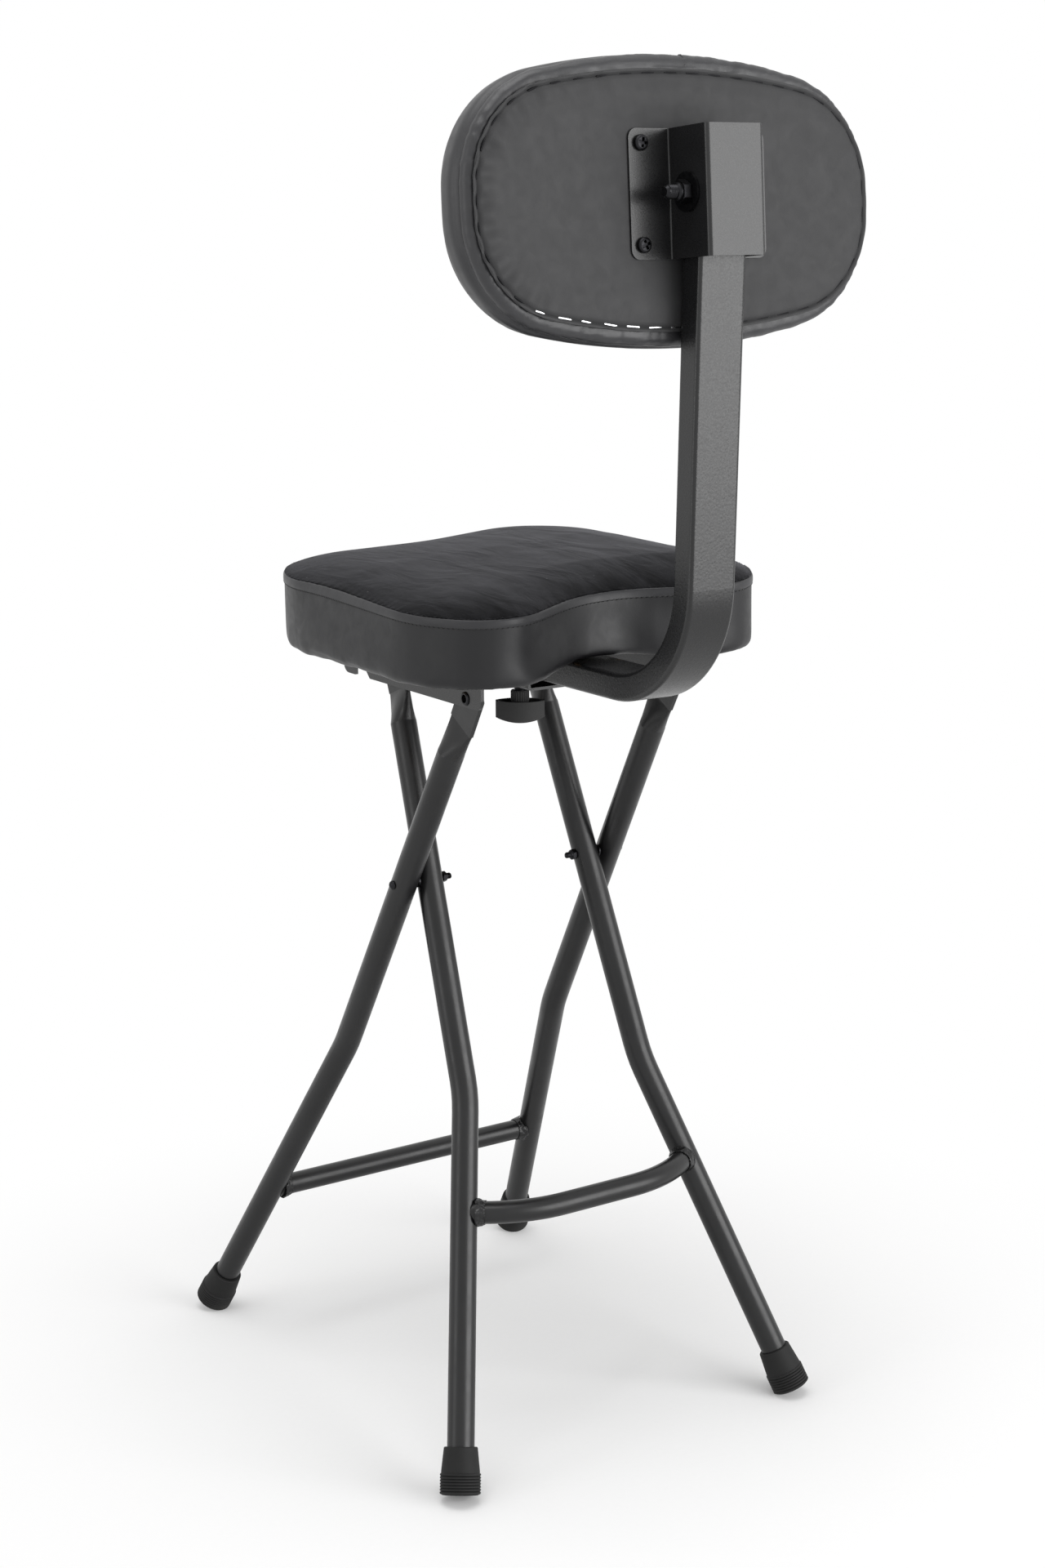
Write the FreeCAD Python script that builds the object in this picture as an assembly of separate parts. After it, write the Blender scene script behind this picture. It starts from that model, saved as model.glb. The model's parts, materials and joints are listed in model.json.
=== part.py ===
import FreeCAD, Part
import math
import os

# Folding guitar stool with a padded seat and backrest, in millimetres.
# +Z is up and the stool faces -Y. The pieces are modelled with the crossing bolts' axis at y = 0,
# and moved at the end so that the origin is on the floor under the middle of the bounding box.

V = FreeCAD.Vector
X_AXIS = V(1, 0, 0)
Y_AXIS = V(0, 1, 0)
Z_AXIS = V(0, 0, 1)
ORIGIN = V(0, 0, 0)

# Fits
RUNNING = 0.05
SEATED = 0.02
SOFT_GAP = 0.3

# Leg tubes
TUBE_D = 19.0
TUBE_WALL = 1.2
TUBE_GAP = 2.0
BEND_RADIUS = 110.0
CROSS_Z = 394.0
OUTER_TILT = 29.7
OUTER_X_CROSS = 88.8
OUTER_X_BEND = 93.6
OUTER_BEND_DOWN = 163.0
OUTER_X_FLOOR = 145.0
INNER_TILT = 22.2
INNER_X_BEND = 76.0
INNER_BEND_DOWN = 156.0
INNER_X_FLOOR = 147.0
INNER_X_CROSS = OUTER_X_CROSS - TUBE_D - TUBE_GAP

# Pressed and drilled upper ends of the legs
TAB_T = 3.0
TAB_W = 27.0
TAB_TIP = 13.0
TAB_CHAMFER = 7.0
TAB_FLAT = 24.0
NECK_LENGTH = 24.0
PIVOT_Z = 541.0
ROD_Z = 545.0

# Crossbars
BAR_D = 16.0
BAR_WALL = 1.0
OUTER_BAR_Z = 117.0
INNER_BAR_Z = 176.5
INNER_BAR_BOW = 26.0
INNER_BAR_ELBOW_X = 64.0
INNER_BAR_RADIUS = 100.0
BEAD_LEG = 2.6
BEAD_TOE = 0.8
BEAD_GAP = 0.12

# Rubber feet
FOOT_D = 26.7
FOOT_TOP_D = 23.4
FOOT_H = 32.0
FOOT_BASE = 6.0
FOOT_CHAMFER = 1.0
FOOT_SHOULDER = 16.0
FOOT_LIP = 0.6

# Crossing bolts
CROSS_BOLT_D = 4.0
CROSS_HEAD_D = 6.8
CROSS_HEAD_H = 2.4
CROSS_NUT_AF = 7.0
CROSS_NUT_H = 4.6
CROSS_BOLT_END = 3.4
CROSS_WASHER_D = 9.0
CROSS_WASHER_T = 1.2
CROSS_SIDE_GAP = 0.3

# Front rod of the inner frame
ROD_D = 8.0
ROD_END = 3.0
PUSH_NUT_D = 14.0
PUSH_NUT_T = 3.0

# Seat bracket: folded plate
PLATE_T = 2.5
PLATE_BEND_R = 5.0
PLATE_TOP_Z = 567.0
FLANGE_BOTTOM_Z = 535.0
FLANGE_GAP = 0.4
FLANGE_BEHIND_PIVOT = 19.5
FLANGE_AHEAD_OF_ROD = 21.0
FLANGE_CORNER_R = 7.0
NOTCH_CLEAR = 0.5
NOTCH_SLOPE = 45.0
RIVET_D = 7.6
RIVET_BORE_D = 5.8
RIVET_HEAD_D = 9.6
RIVET_HEAD_T = 1.2
SEAT_SCREW_X = 46.0
SEAT_SCREW_INSET = 24.0
SEAT_SCREW_D = 5.0
SEAT_SCREW_HEAD_D = 9.5
SEAT_SCREW_HEAD_H = 2.8
SEAT_SCREW_BITE = 9.0
SCREW_HOLE_CLEAR = 0.25

# Backrest post
POST_W = 36.4
POST_T = 19.0
POST_WALL = 1.5
POST_CORNER_R = 3.0
POST_BEND_R = 76.0
POST_Y = 229.4
POST_LEAN = 1.8
POST_FRONT_Y = -24.0
POST_ABOVE_BOLT = 30.0
POST_SOCKET_GAP = 0.2
PLUG_LIP = 2.5
PLUG_SPIGOT = 14.0
PLUG_FIT = 0.1

# Post socket under the plate
SOCKET_WALL = 2.0
SOCKET_SIDE_GAP = 3.0
SOCKET_FLOOR_GAP = 5.8
SOCKET_W = POST_W + 2 * (SOCKET_SIDE_GAP + SOCKET_WALL)
SOCKET_H = POST_T + POST_SOCKET_GAP + SOCKET_FLOOR_GAP + 2 * SOCKET_WALL
SOCKET_CORNER_R = 3.0
SOCKET_REAR_Y = 62.0
SOCKET_LENGTH = 100.0
SOCKET_BEAD = 3.0

# Seat cushion
BOARD_T = 12.0
BOARD_INSET = 9.0
PAD_BELOW_BOARD = 3.5
PAD_TOP_Z = 619.0
PAD_TOP_R = 13.0
PAD_BOTTOM_R = 7.0
# Corners of the seat's left half from rear to front: x, y and the radius that rounds each
SEAT_CORNERS = [(0.0, 105.5, 68.0), (100.0, 155.5, 47.0), (140.0, 96.0, 86.0), (136.0, -98.0, 104.0),
                (91.0, -155.5, 64.0), (0.0, -142.0, 64.0)]

# Clamp screw and knob
CLAMP_Y = 16.0
CLAMP_D = 8.0
CLAMP_POST_GAP = 0.3
CLAMP_NUT_AF = 13.0
CLAMP_NUT_H = 5.0
CLAMP_HOLE_CLEAR = 0.4
KNOB_TOP_Z = 519.5
KNOB_BOSS_D = 12.5
KNOB_BOSS_H = 7.5
KNOB_L = 35.0
KNOB_W = 20.0
KNOB_H = 14.8
KNOB_END_W = 5.0
KNOB_WALL = 2.0
KNOB_RECESS = 6.0
KNOB_SAG = 3.0
KNOB_TURN = -33.0
KNOB_SCREW_BITE = 10.0

# Backrest, upright about its tilt bolt's axis before it is tilted
TILT_Z = 871.0
BACKREST_TILT = 4.0
HAT_T = 2.0
HAT_SIDE_GAP = 1.6
HAT_HALF_W = POST_W / 2 + HAT_SIDE_GAP + HAT_T
HAT_H = 78.2
HAT_BEND_R = 3.0
HAT_FRONT_Y = -20.0
HAT_REAR_Y = 20.4
HAT_FLANGE_X = 52.0
HAT_CORNER_R = 6.0
HAT_SCREW_X = 43.5
HAT_SCREW_Z = 30.4
HAT_SCREW_D = 4.8
HAT_SCREW_HEAD_D = 9.8
HAT_SCREW_HEAD_H = 3.4
HAT_SCREW_BITE = 7.0
TILT_BOLT_D = 8.0
TILT_HEAD_AF = 13.0
TILT_HEAD_H = 5.3
TILT_WASHER_D = 24.0
TILT_WASHER_T = 1.8
TILT_NUT_H = 8.0
TILT_BOLT_END = 8.0
PANEL_T = 1.0
PANEL_INSET = 8.5
BACK_BOARD_T = 9.0
BACK_BOARD_INSET = 12.0
BACK_PAD_W = 308.0
BACK_PAD_H = 175.0
BACK_PAD_T = 42.0
BACK_PAD_FRONT_R = 19.0
BACK_PAD_REAR_R = 11.0
BACK_PAD_DROP = 4.0
BACK_PAD_SHIFT = 13.0
BACK_CROWN_R = 500.0
BACK_SIDE_R = 400.0
BACK_CORNER_R = 72.0


# General shapes


def swept(face, points, radius):
    """Bar of one section along a path with rounded corners; the section lies across the path's start."""
    section = face.copy()
    pieces = []
    at = points[0]
    for before, corner, after in zip(points, points[1:], points[2:]):
        back = (before - corner).normalize()
        ahead = (after - corner).normalize()
        half = back.getAngle(ahead) / 2
        reach = radius / math.tan(half)
        run = corner + back * reach - at
        pieces.append(section.extrude(run))
        section.translate(run)
        centre = corner + (back + ahead).normalize() * (radius / math.sin(half))
        turn = 180 - math.degrees(2 * half)
        pieces.append(section.revolve(centre, ahead.cross(back), turn))
        section.rotate(centre, ahead.cross(back), turn)
        at = corner + ahead * reach
    pieces.append(section.extrude(points[-1] - at))
    return pieces[0].multiFuse(pieces[1:]).removeSplitter()


def disc(diameter, centre, direction):
    """Round section across a direction."""
    return Part.Face(Part.Wire(Part.makeCircle(diameter / 2, centre, direction)))


def rounded_face(points, radii):
    """Face of a closed polygon with a radius at each corner, 0 for a sharp one."""
    stops = []
    count = len(points)
    for i in range(count):
        corner = points[i]
        if radii[i] <= 0:
            stops.append((corner, None, corner))
            continue
        back = (points[i - 1] - corner).normalize()
        ahead = (points[(i + 1) % count] - corner).normalize()
        half = back.getAngle(ahead) / 2
        enter = corner + back * (radii[i] / math.tan(half))
        leave = corner + ahead * (radii[i] / math.tan(half))
        centre = corner + (back + ahead).normalize() * (radii[i] / math.sin(half))
        stops.append((enter, centre + (corner - centre).normalize() * radii[i], leave))
    edges = []
    for i in range(count):
        enter, middle, leave = stops[i]
        if middle is not None:
            edges.append(Part.Arc(enter, middle, leave).toShape())
        edges.append(Part.LineSegment(leave, stops[(i + 1) % count][0]).toShape())
    return Part.Face(Part.Wire(edges))


def rectangle(width, height, radius):
    """Rounded rectangle in the XZ plane about the origin, as a face."""
    x = width / 2
    z = height / 2
    return rounded_face([V(-x, 0, -z), V(x, 0, -z), V(x, 0, z), V(-x, 0, z)], [radius] * 4)


def turned(profile):
    """Solid of revolution about Z from (radius, height) points."""
    points = [V(r, 0, z) for r, z in profile]
    face = Part.Face(Part.makePolygon(points + points[:1]))
    return face.revolve(ORIGIN, Z_AXIS, 360)


def along_x(shape, x, y, z, flip=False):
    """Moves a shape built along +Z so that it starts at a point and runs along +X, or -X if flipped."""
    moved = shape.copy()
    moved.rotate(ORIGIN, Y_AXIS, -90 if flip else 90)
    moved.translate(V(x, y, z))
    return moved


def rod_x(diameter, x_from, x_to, y=0.0, z=0.0):
    """Cylinder along X between two x values."""
    return Part.makeCylinder(diameter / 2, x_to - x_from, V(x_from, y, z), X_AXIS)


def hexagon(across_flats, height, bore, chamfer=0.8):
    """Hexagonal nut blank on Z with chamfered corners and a bore, or none where the bore is 0."""
    r = across_flats / math.sqrt(3)
    corners = [V(r * math.cos(a), r * math.sin(a), 0) for a in [math.radians(60 * i) for i in range(7)]]
    blank = Part.Face(Part.makePolygon(corners)).extrude(V(0, 0, height))
    skirt = turned([(0, 0), (r - chamfer, 0), (r, chamfer * 0.6), (r, height - chamfer * 0.6),
                    (r - chamfer, height), (0, height)])
    nut = blank.common(skirt)
    if bore > 0:
        nut = nut.cut(Part.makeCylinder(bore / 2, height))
    return nut


def lock_nut(across_flats, height, bore):
    """Hexagonal nut with the rounded collar of a lock nut on top."""
    flats = height * 0.7
    collar_r = across_flats * 0.44
    collar = turned([(0, flats), (collar_r, flats), (collar_r, height - 1), (collar_r - 1.2, height), (0, height)])
    collar = collar.cut(Part.makeCylinder(bore / 2, height))
    return hexagon(across_flats, flats, bore).fuse(collar).removeSplitter()


def dome_head(diameter, height):
    """Round screw head standing on z = 0."""
    sphere_r = (diameter * diameter / 4 + height * height) / (2 * height)
    ball = Part.makeSphere(sphere_r, V(0, 0, height - sphere_r))
    return ball.common(Part.makeCylinder(diameter / 2, height))


def washer(outer, bore, thickness):
    """Flat washer standing on z = 0."""
    return Part.makeCylinder(outer / 2, thickness).cut(Part.makeCylinder(bore / 2, thickness))


def oval(inset):
    """Backrest outline in the XZ plane, of tangent arcs, drawn in from the pad's edge by an inset."""
    x = BACK_PAD_W / 2 - inset
    z = BACK_PAD_H / 2 - inset
    crown = BACK_CROWN_R - inset
    side = BACK_SIDE_R - inset
    corner = BACK_CORNER_R - inset
    crown_at = V(0, 0, z - crown)
    side_at = V(x - side, 0, 0)
    span = (side_at - crown_at).Length
    along = (span * span + (crown - corner) ** 2 - (side - corner) ** 2) / (2 * span)
    off = math.sqrt((crown - corner) ** 2 - along * along)
    u = (side_at - crown_at).normalize()
    centre = crown_at + u * along + V(u.z, 0, -u.x) * off
    high = crown_at + (centre - crown_at).normalize() * crown
    low = side_at + (centre - side_at).normalize() * side
    bulge = centre + ((high + low) * 0.5 - centre).normalize() * corner
    quarter = [(high, bulge, low)]
    for sx, sz in ((1, -1), (-1, -1), (-1, 1)):
        arc = [V(sx * p.x, 0, sz * p.z) for p in (high, bulge, low)]
        quarter.append(tuple(arc if sx * sz > 0 else reversed(arc)))
    tips = [V(x, 0, 0), V(0, 0, -z), V(-x, 0, 0), V(0, 0, z)]
    edges = []
    for i in range(4):
        start, middle, end = quarter[i]
        edges.append(Part.Arc(start, middle, end).toShape())
        edges.append(Part.Arc(end, tips[i], quarter[(i + 1) % 4][0]).toShape())
    return Part.Face(Part.Wire(edges))


def edges_at(shape, test):
    """Edges of a shape whose every end and middle point passes a test."""
    found = []
    for edge in shape.Edges:
        first, last = edge.ParameterRange
        samples = [edge.valueAt(first + (last - first) * t) for t in (0.0, 0.25, 0.5, 0.75, 1.0)]
        if all(test(p) for p in samples):
            found.append(edge)
    return found


def near(a, b):
    """Whether two sizes are equal within modelling tolerance."""
    return abs(a - b) < 0.01


def mirrored(shape):
    """Copy of a left-hand piece for the right-hand side."""
    return shape.mirror(ORIGIN, X_AXIS)


def main_solid(shape):
    """Largest solid of a shape."""
    return max(shape.Solids, key=lambda solid: solid.Volume)


# Leg frames, each built in its own plane: x across, z up along the frame from the crossing bolts


class LegFrame:
    """One pair of legs, with its tilt about the crossing bolts' axis."""

    def __init__(self, tilt, x_cross, x_bend, bend_down, x_floor, top_z):
        self.tilt = tilt
        self.x_cross = x_cross
        self.slope = (x_bend - x_cross) / bend_down
        self.bend = V(x_bend, 0, -bend_down)
        cosine = math.cos(math.radians(tilt))
        self.floor = V(x_floor, 0, -CROSS_Z / cosine)
        self.top_u = (top_z - CROSS_Z) / cosine
        self.x_top = x_cross - self.slope * self.top_u
        self.up = (self.bend - self.floor).normalize()
        lean = math.acos(self.up.z * cosine)
        self.foot = self.floor + self.up * ((FOOT_D / 2 - FOOT_CHAMFER) * math.tan(lean))

    def placed(self, shape):
        """Moves a shape from the frame's plane to its place in the stool."""
        moved = shape.copy()
        moved.rotate(ORIGIN, X_AXIS, self.tilt)
        moved.translate(V(0, 0, CROSS_Z))
        return moved

    def world(self, x, u):
        """Place in the stool of a point of the frame's plane."""
        a = math.radians(self.tilt)
        return V(x, -u * math.sin(a), CROSS_Z + u * math.cos(a))

    def u_at(self, z):
        """Distance along the frame of a height in the stool."""
        return (z - CROSS_Z) / math.cos(math.radians(self.tilt))

    def x_at(self, u):
        """Leg axis's x below the bend."""
        return self.floor.x + (self.bend.x - self.floor.x) * (u - self.floor.z) / (self.bend.z - self.floor.z)


OUTER = LegFrame(-OUTER_TILT, OUTER_X_CROSS, OUTER_X_BEND, OUTER_BEND_DOWN, OUTER_X_FLOOR, PIVOT_Z)
INNER = LegFrame(INNER_TILT, INNER_X_CROSS, INNER_X_BEND, INNER_BEND_DOWN, INNER_X_FLOOR, ROD_Z)
PIVOT = OUTER.world(0, OUTER.top_u)
ROD = INNER.world(0, INNER.top_u)


def round_section(radius, at, slope):
    """Circle of four arcs across a leg's axis, matched edge by edge to flat_section."""
    corner = math.radians(55)

    def on(angle):
        return V(radius * math.cos(angle), radius * math.sin(angle), 0)

    turns = [-corner, corner, math.pi - corner, math.pi + corner, 2 * math.pi - corner]
    arcs = []
    for a, b in zip(turns, turns[1:]):
        arcs.append(Part.Arc(on(a), on((a + b) / 2), on(b)).toShape())
    wire = Part.Wire(arcs)
    wire.rotate(ORIGIN, Y_AXIS, -math.degrees(math.atan(slope)))
    wire.translate(at)
    return wire


def flat_section(at):
    """Pressed tube section: two straight sides and two rounded edges."""
    x = TAB_T / 2
    y = TAB_W / 2 - x
    right = Part.LineSegment(V(x, -y, 0), V(x, y, 0)).toShape()
    far = Part.Arc(V(x, y, 0), V(0, TAB_W / 2, 0), V(-x, y, 0)).toShape()
    left = Part.LineSegment(V(-x, y, 0), V(-x, -y, 0)).toShape()
    close = Part.Arc(V(-x, -y, 0), V(0, -TAB_W / 2, 0), V(x, -y, 0)).toShape()
    wire = Part.Wire([right, far, left, close])
    wire.translate(at)
    return wire


def leg_tube(frame, diameter, end_lift):
    """Bent round bar along a leg's axis, from the foot up to the pressed neck."""
    low = frame.foot + frame.up * end_lift
    neck_u = frame.top_u - TAB_FLAT - NECK_LENGTH
    neck = V(frame.x_cross - frame.slope * neck_u, 0, neck_u)
    return swept(disc(diameter, low, frame.up), [low, frame.bend, neck], BEND_RADIUS)


def pressed_end(frame):
    """Neck that flattens the tube, and the drilled tab above it."""
    neck_u = frame.top_u - TAB_FLAT - NECK_LENGTH
    flat_u = frame.top_u - TAB_FLAT
    low = round_section(TUBE_D / 2, V(frame.x_cross - frame.slope * neck_u, 0, neck_u), frame.slope)
    high = flat_section(V(frame.x_top, 0, flat_u))
    neck = Part.makeLoft([low, high], True, True)
    half = TAB_W / 2
    tip = frame.top_u + TAB_TIP
    x = frame.x_top - TAB_T / 2
    outline = [V(x, -half, flat_u), V(x, half, flat_u), V(x, half, tip - TAB_CHAMFER),
               V(x, half - TAB_CHAMFER, tip), V(x, TAB_CHAMFER - half, tip), V(x, -half, tip - TAB_CHAMFER)]
    tab = Part.Face(Part.makePolygon(outline + outline[:1])).extrude(V(TAB_T, 0, 0))
    return neck.fuse(tab)


def leg_blank(frame, clearance=0.0):
    """Leg without its bore and holes, for cutting what meets it."""
    return leg_tube(frame, TUBE_D + 2 * clearance, FOOT_BASE)


def leg(frame, top_hole_d):
    """Left leg: bent tube with a pressed top, drilled for the crossing bolt and the top pivot."""
    tube = leg_blank(frame).cut(leg_tube(frame, TUBE_D - 2 * TUBE_WALL, FOOT_BASE))
    body = tube.fuse(pressed_end(frame)).removeSplitter()
    body = body.cut(rod_x(CROSS_BOLT_D + 2 * RUNNING, 0, frame.x_cross + TUBE_D))
    return body.cut(rod_x(top_hole_d, 0, frame.x_top + TUBE_D, 0, frame.top_u))


def foot(frame):
    """Left rubber ferrule: straight foot, tapered collar and a blind bore for the tube."""
    r = FOOT_D / 2
    top_r = FOOT_TOP_D / 2
    bore_r = TUBE_D / 2 + SEATED
    shape = turned([(0, 0), (r - FOOT_CHAMFER, 0), (r, FOOT_CHAMFER), (r, FOOT_SHOULDER), (top_r, FOOT_H - FOOT_LIP),
                    (top_r - FOOT_LIP, FOOT_H), (bore_r, FOOT_H), (bore_r, FOOT_BASE), (0, FOOT_BASE)])
    shape.rotate(ORIGIN, Y_AXIS, math.degrees(math.atan2(frame.up.x, frame.up.z)))
    shape.translate(frame.foot)
    return shape


def bead(at, direction, blanks):
    """Weld bead round a crossbar's end, cut to the leg and the bar that it joins."""
    ring = Part.makeCone(BAR_D / 2 + BEAD_LEG, BAR_D / 2 + BEAD_TOE, BEAD_LEG + TUBE_D / 4,
                         at + direction * (TUBE_D / 2 - BEAD_LEG / 2), direction)
    for blank in blanks:
        ring = ring.cut(blank)
    return main_solid(ring)


def outer_crossbar():
    """Straight bar between the outer legs, coped to them, with its two beads."""
    u = OUTER.u_at(OUTER_BAR_Z)
    x = OUTER.x_at(u)
    blank = leg_blank(OUTER, BEAD_GAP)
    rod = rod_x(BAR_D, -x, x, 0, u)
    bore = rod_x(BAR_D - 2 * BAR_WALL, -x, x, 0, u)
    bar = main_solid(rod.cut(bore).cut(blank).cut(mirrored(blank)))
    core = rod_x(BAR_D + 2 * BEAD_GAP, -x, x, 0, u)
    return bar, bead(V(x, 0, u), V(-1, 0, 0), [blank, core])


def inner_crossbar():
    """Bowed bar between the inner legs, built level in the stool, with its left bead."""
    u = INNER.u_at(INNER_BAR_Z)
    end = INNER.world(INNER.x_at(u), u)
    rear_y = end.y + INNER_BAR_BOW
    left = V(INNER_BAR_ELBOW_X, rear_y, end.z)
    points = [end, left, V(-left.x, left.y, left.z), V(-end.x, end.y, end.z)]
    inward = (left - end).normalize()
    rod = swept(disc(BAR_D, end, inward), points, INNER_BAR_RADIUS)
    bore = swept(disc(BAR_D - 2 * BAR_WALL, end, inward), points, INNER_BAR_RADIUS)
    blank = INNER.placed(leg_blank(INNER, BEAD_GAP))
    bar = main_solid(rod.cut(bore).cut(blank).cut(mirrored(blank)))
    core = swept(disc(BAR_D + 2 * BEAD_GAP, end, inward), points, INNER_BAR_RADIUS)
    return bar, bead(end, inward, [blank, core])


def crossing_bolt():
    """Left round-headed bolt through both frames, with its washer and nut."""
    outside = OUTER.x_cross + TUBE_D / 2 + CROSS_SIDE_GAP
    inside = INNER.x_cross - TUBE_D / 2 - CROSS_SIDE_GAP
    tip = inside - CROSS_NUT_H - CROSS_BOLT_END
    r = CROSS_BOLT_D / 2
    length = outside - tip
    shank = turned([(0, 0), (r, 0), (r, length - 1.5), (r - 1.2, length), (0, length)])
    bolt = along_x(dome_head(CROSS_HEAD_D, CROSS_HEAD_H), outside, 0, CROSS_Z)
    bolt = bolt.fuse(along_x(shank, outside, 0, CROSS_Z, flip=True)).removeSplitter()
    nut = along_x(lock_nut(CROSS_NUT_AF, CROSS_NUT_H, CROSS_BOLT_D + 2 * SEATED), inside, 0, CROSS_Z, flip=True)
    middle = INNER.x_cross + TUBE_D / 2 + (TUBE_GAP - CROSS_WASHER_T) / 2
    ring = washer(CROSS_WASHER_D, CROSS_BOLT_D + 2 * SEATED, CROSS_WASHER_T)
    return bolt, along_x(ring, middle, 0, CROSS_Z), nut


def front_rod():
    """Rod through the inner legs' tops, and the left push-on cap outside its tab."""
    end = flange_outer_x() + ROD_END
    rod = rod_x(ROD_D, -end, end, ROD.y, ROD.z)
    cap_x = INNER.x_top + TAB_T / 2 + CROSS_SIDE_GAP
    r = PUSH_NUT_D / 2
    bore = ROD_D / 2 + SEATED
    cap = turned([(bore, 0), (r, 0), (r, 1), (r - 2, PUSH_NUT_T), (bore, PUSH_NUT_T)])
    return rod, along_x(cap, cap_x, ROD.y, ROD.z)


# Seat


def flange_inner_x():
    """Inner face of the bracket's flange, beside the outer leg's tab."""
    return OUTER.x_top + TAB_T / 2 + FLANGE_GAP


def flange_outer_x():
    """Outer face of the bracket's flange."""
    return flange_inner_x() + PLATE_T


def seat_screw_places():
    """Plan places of the four screws that hold the bracket on the board."""
    front = ROD.y - FLANGE_AHEAD_OF_ROD + SEAT_SCREW_INSET * 1.6
    rear = PIVOT.y + FLANGE_BEHIND_PIVOT - SEAT_SCREW_INSET
    return [(sx * SEAT_SCREW_X, y) for sx in (-1, 1) for y in (front, rear)]


def rod_notch():
    """Open hook for the rod: upright front wall, sloped rear wall."""
    r = ROD_D / 2 + NOTCH_CLEAR
    slope = math.radians(NOTCH_SLOPE)
    x = -flange_outer_x() - 1
    low = FLANGE_BOTTOM_Z - 1
    touch = V(x, ROD.y + r * math.cos(slope), ROD.z + r * math.sin(slope))
    rear = V(x, touch.y + (touch.z - low) * math.tan(slope), low)
    front_top = V(x, ROD.y - r, ROD.z)
    front = V(x, ROD.y - r, low)
    edges = [Part.Arc(front_top, V(x, ROD.y, ROD.z + r), touch).toShape(),
             Part.LineSegment(touch, rear).toShape(),
             Part.LineSegment(rear, front).toShape(),
             Part.LineSegment(front, front_top).toShape()]
    return Part.Face(Part.Wire(edges)).extrude(V(2 * flange_outer_x() + 2, 0, 0))


def seat_bracket():
    """Plate folded down into two side flanges, hooked at the front and drilled at the rear."""
    w = flange_outer_x()
    top = PLATE_TOP_Z
    low = FLANGE_BOTTOM_Z
    t = PLATE_T
    front = ROD.y - FLANGE_AHEAD_OF_ROD
    length = PIVOT.y + FLANGE_BEHIND_PIVOT - front
    outline = [V(w, front, low), V(w, front, top), V(-w, front, top), V(-w, front, low),
               V(t - w, front, low), V(t - w, front, top - t), V(w - t, front, top - t), V(w - t, front, low)]
    inner_r = PLATE_BEND_R - t
    radii = [0, PLATE_BEND_R, PLATE_BEND_R, 0, 0, inner_r, inner_r, 0]
    bracket = rounded_face(outline, radii).extrude(V(0, length, 0))
    corners = edges_at(bracket, lambda p: near(p.z, low) and (near(p.y, front) or near(p.y, front + length)))
    bracket = bracket.makeFillet(FLANGE_CORNER_R, corners)
    bracket = bracket.cut(rod_notch())
    bracket = bracket.cut(rod_x(RIVET_D + 2 * SEATED, -w - 1, w + 1, PIVOT.y, PIVOT.z))
    for x, y in seat_screw_places():
        hole = Part.makeCylinder(SEAT_SCREW_D / 2 + SCREW_HOLE_CLEAR, 3 * t, V(x, y, top - 2 * t))
        bracket = bracket.cut(hole)
    return bracket


def pivot_rivet():
    """Left hollow rivet through the flange and the outer leg's tab."""
    r = RIVET_D / 2
    head = RIVET_HEAD_D / 2
    bore = RIVET_BORE_D / 2
    grip = PLATE_T + FLANGE_GAP + TAB_T + FLANGE_GAP
    t = RIVET_HEAD_T
    profile = [(bore, -t), (head - 1, -t), (head, -t / 2), (head, 0), (r, 0), (r, grip), (head, grip),
               (head, grip + t / 2), (head - 1, grip + t), (bore, grip + t)]
    return along_x(turned(profile), flange_outer_x(), PIVOT.y, PIVOT.z, flip=True)


def socket_box(width, height, radius):
    """Length of rectangular bar under the plate, where the post socket runs."""
    bar = rectangle(width, height, radius).extrude(V(0, SOCKET_LENGTH, 0))
    bar.translate(V(0, SOCKET_REAR_Y - SOCKET_LENGTH, PLATE_TOP_Z - PLATE_T - SOCKET_H / 2))
    return bar


def post_socket():
    """Rectangular tube under the plate, drilled for the clamp screw, with its left weld bead."""
    outside = socket_box(SOCKET_W, SOCKET_H, SOCKET_CORNER_R)
    inner_r = SOCKET_CORNER_R - SOCKET_WALL
    inside = socket_box(SOCKET_W - 2 * SOCKET_WALL, SOCKET_H - 2 * SOCKET_WALL, inner_r)
    floor_z = PLATE_TOP_Z - PLATE_T - SOCKET_H
    hole = Part.makeCylinder(CLAMP_D / 2 + CLAMP_HOLE_CLEAR, 3 * SOCKET_WALL, V(0, CLAMP_Y, floor_z - SOCKET_WALL))
    x = SOCKET_W / 2
    top = PLATE_TOP_Z - PLATE_T
    y = SOCKET_REAR_Y - SOCKET_LENGTH
    corners = [V(x - SOCKET_CORNER_R, y, top), V(x + SOCKET_BEAD, y, top), V(x, y, top - SOCKET_CORNER_R - SOCKET_BEAD)]
    weld = Part.Face(Part.makePolygon(corners + corners[:1])).extrude(V(0, SOCKET_LENGTH, 0)).cut(outside)
    return outside.cut(inside).cut(hole), main_solid(weld)


def clamp_nut():
    """Weld nut on the socket's floor."""
    nut = hexagon(CLAMP_NUT_AF, CLAMP_NUT_H, CLAMP_D + 2 * RUNNING)
    nut.translate(V(0, CLAMP_Y, PLATE_TOP_Z - PLATE_T - SOCKET_H + SOCKET_WALL))
    return nut


def seat_outline(z, inset=0.0):
    """Kidney-shaped seat: deep hollow behind, shallow one in front, lobes at the corners, drawn in by an inset."""
    left = [V(x, y, z) for x, y, r in SEAT_CORNERS]
    right = [V(-x, y, z) for x, y, r in SEAT_CORNERS[-2:0:-1]]
    radii = [r for x, y, r in SEAT_CORNERS + SEAT_CORNERS[-2:0:-1]]
    face = rounded_face(left + right, radii)
    return face.makeOffset2D(-inset) if inset > 0 else face


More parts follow.
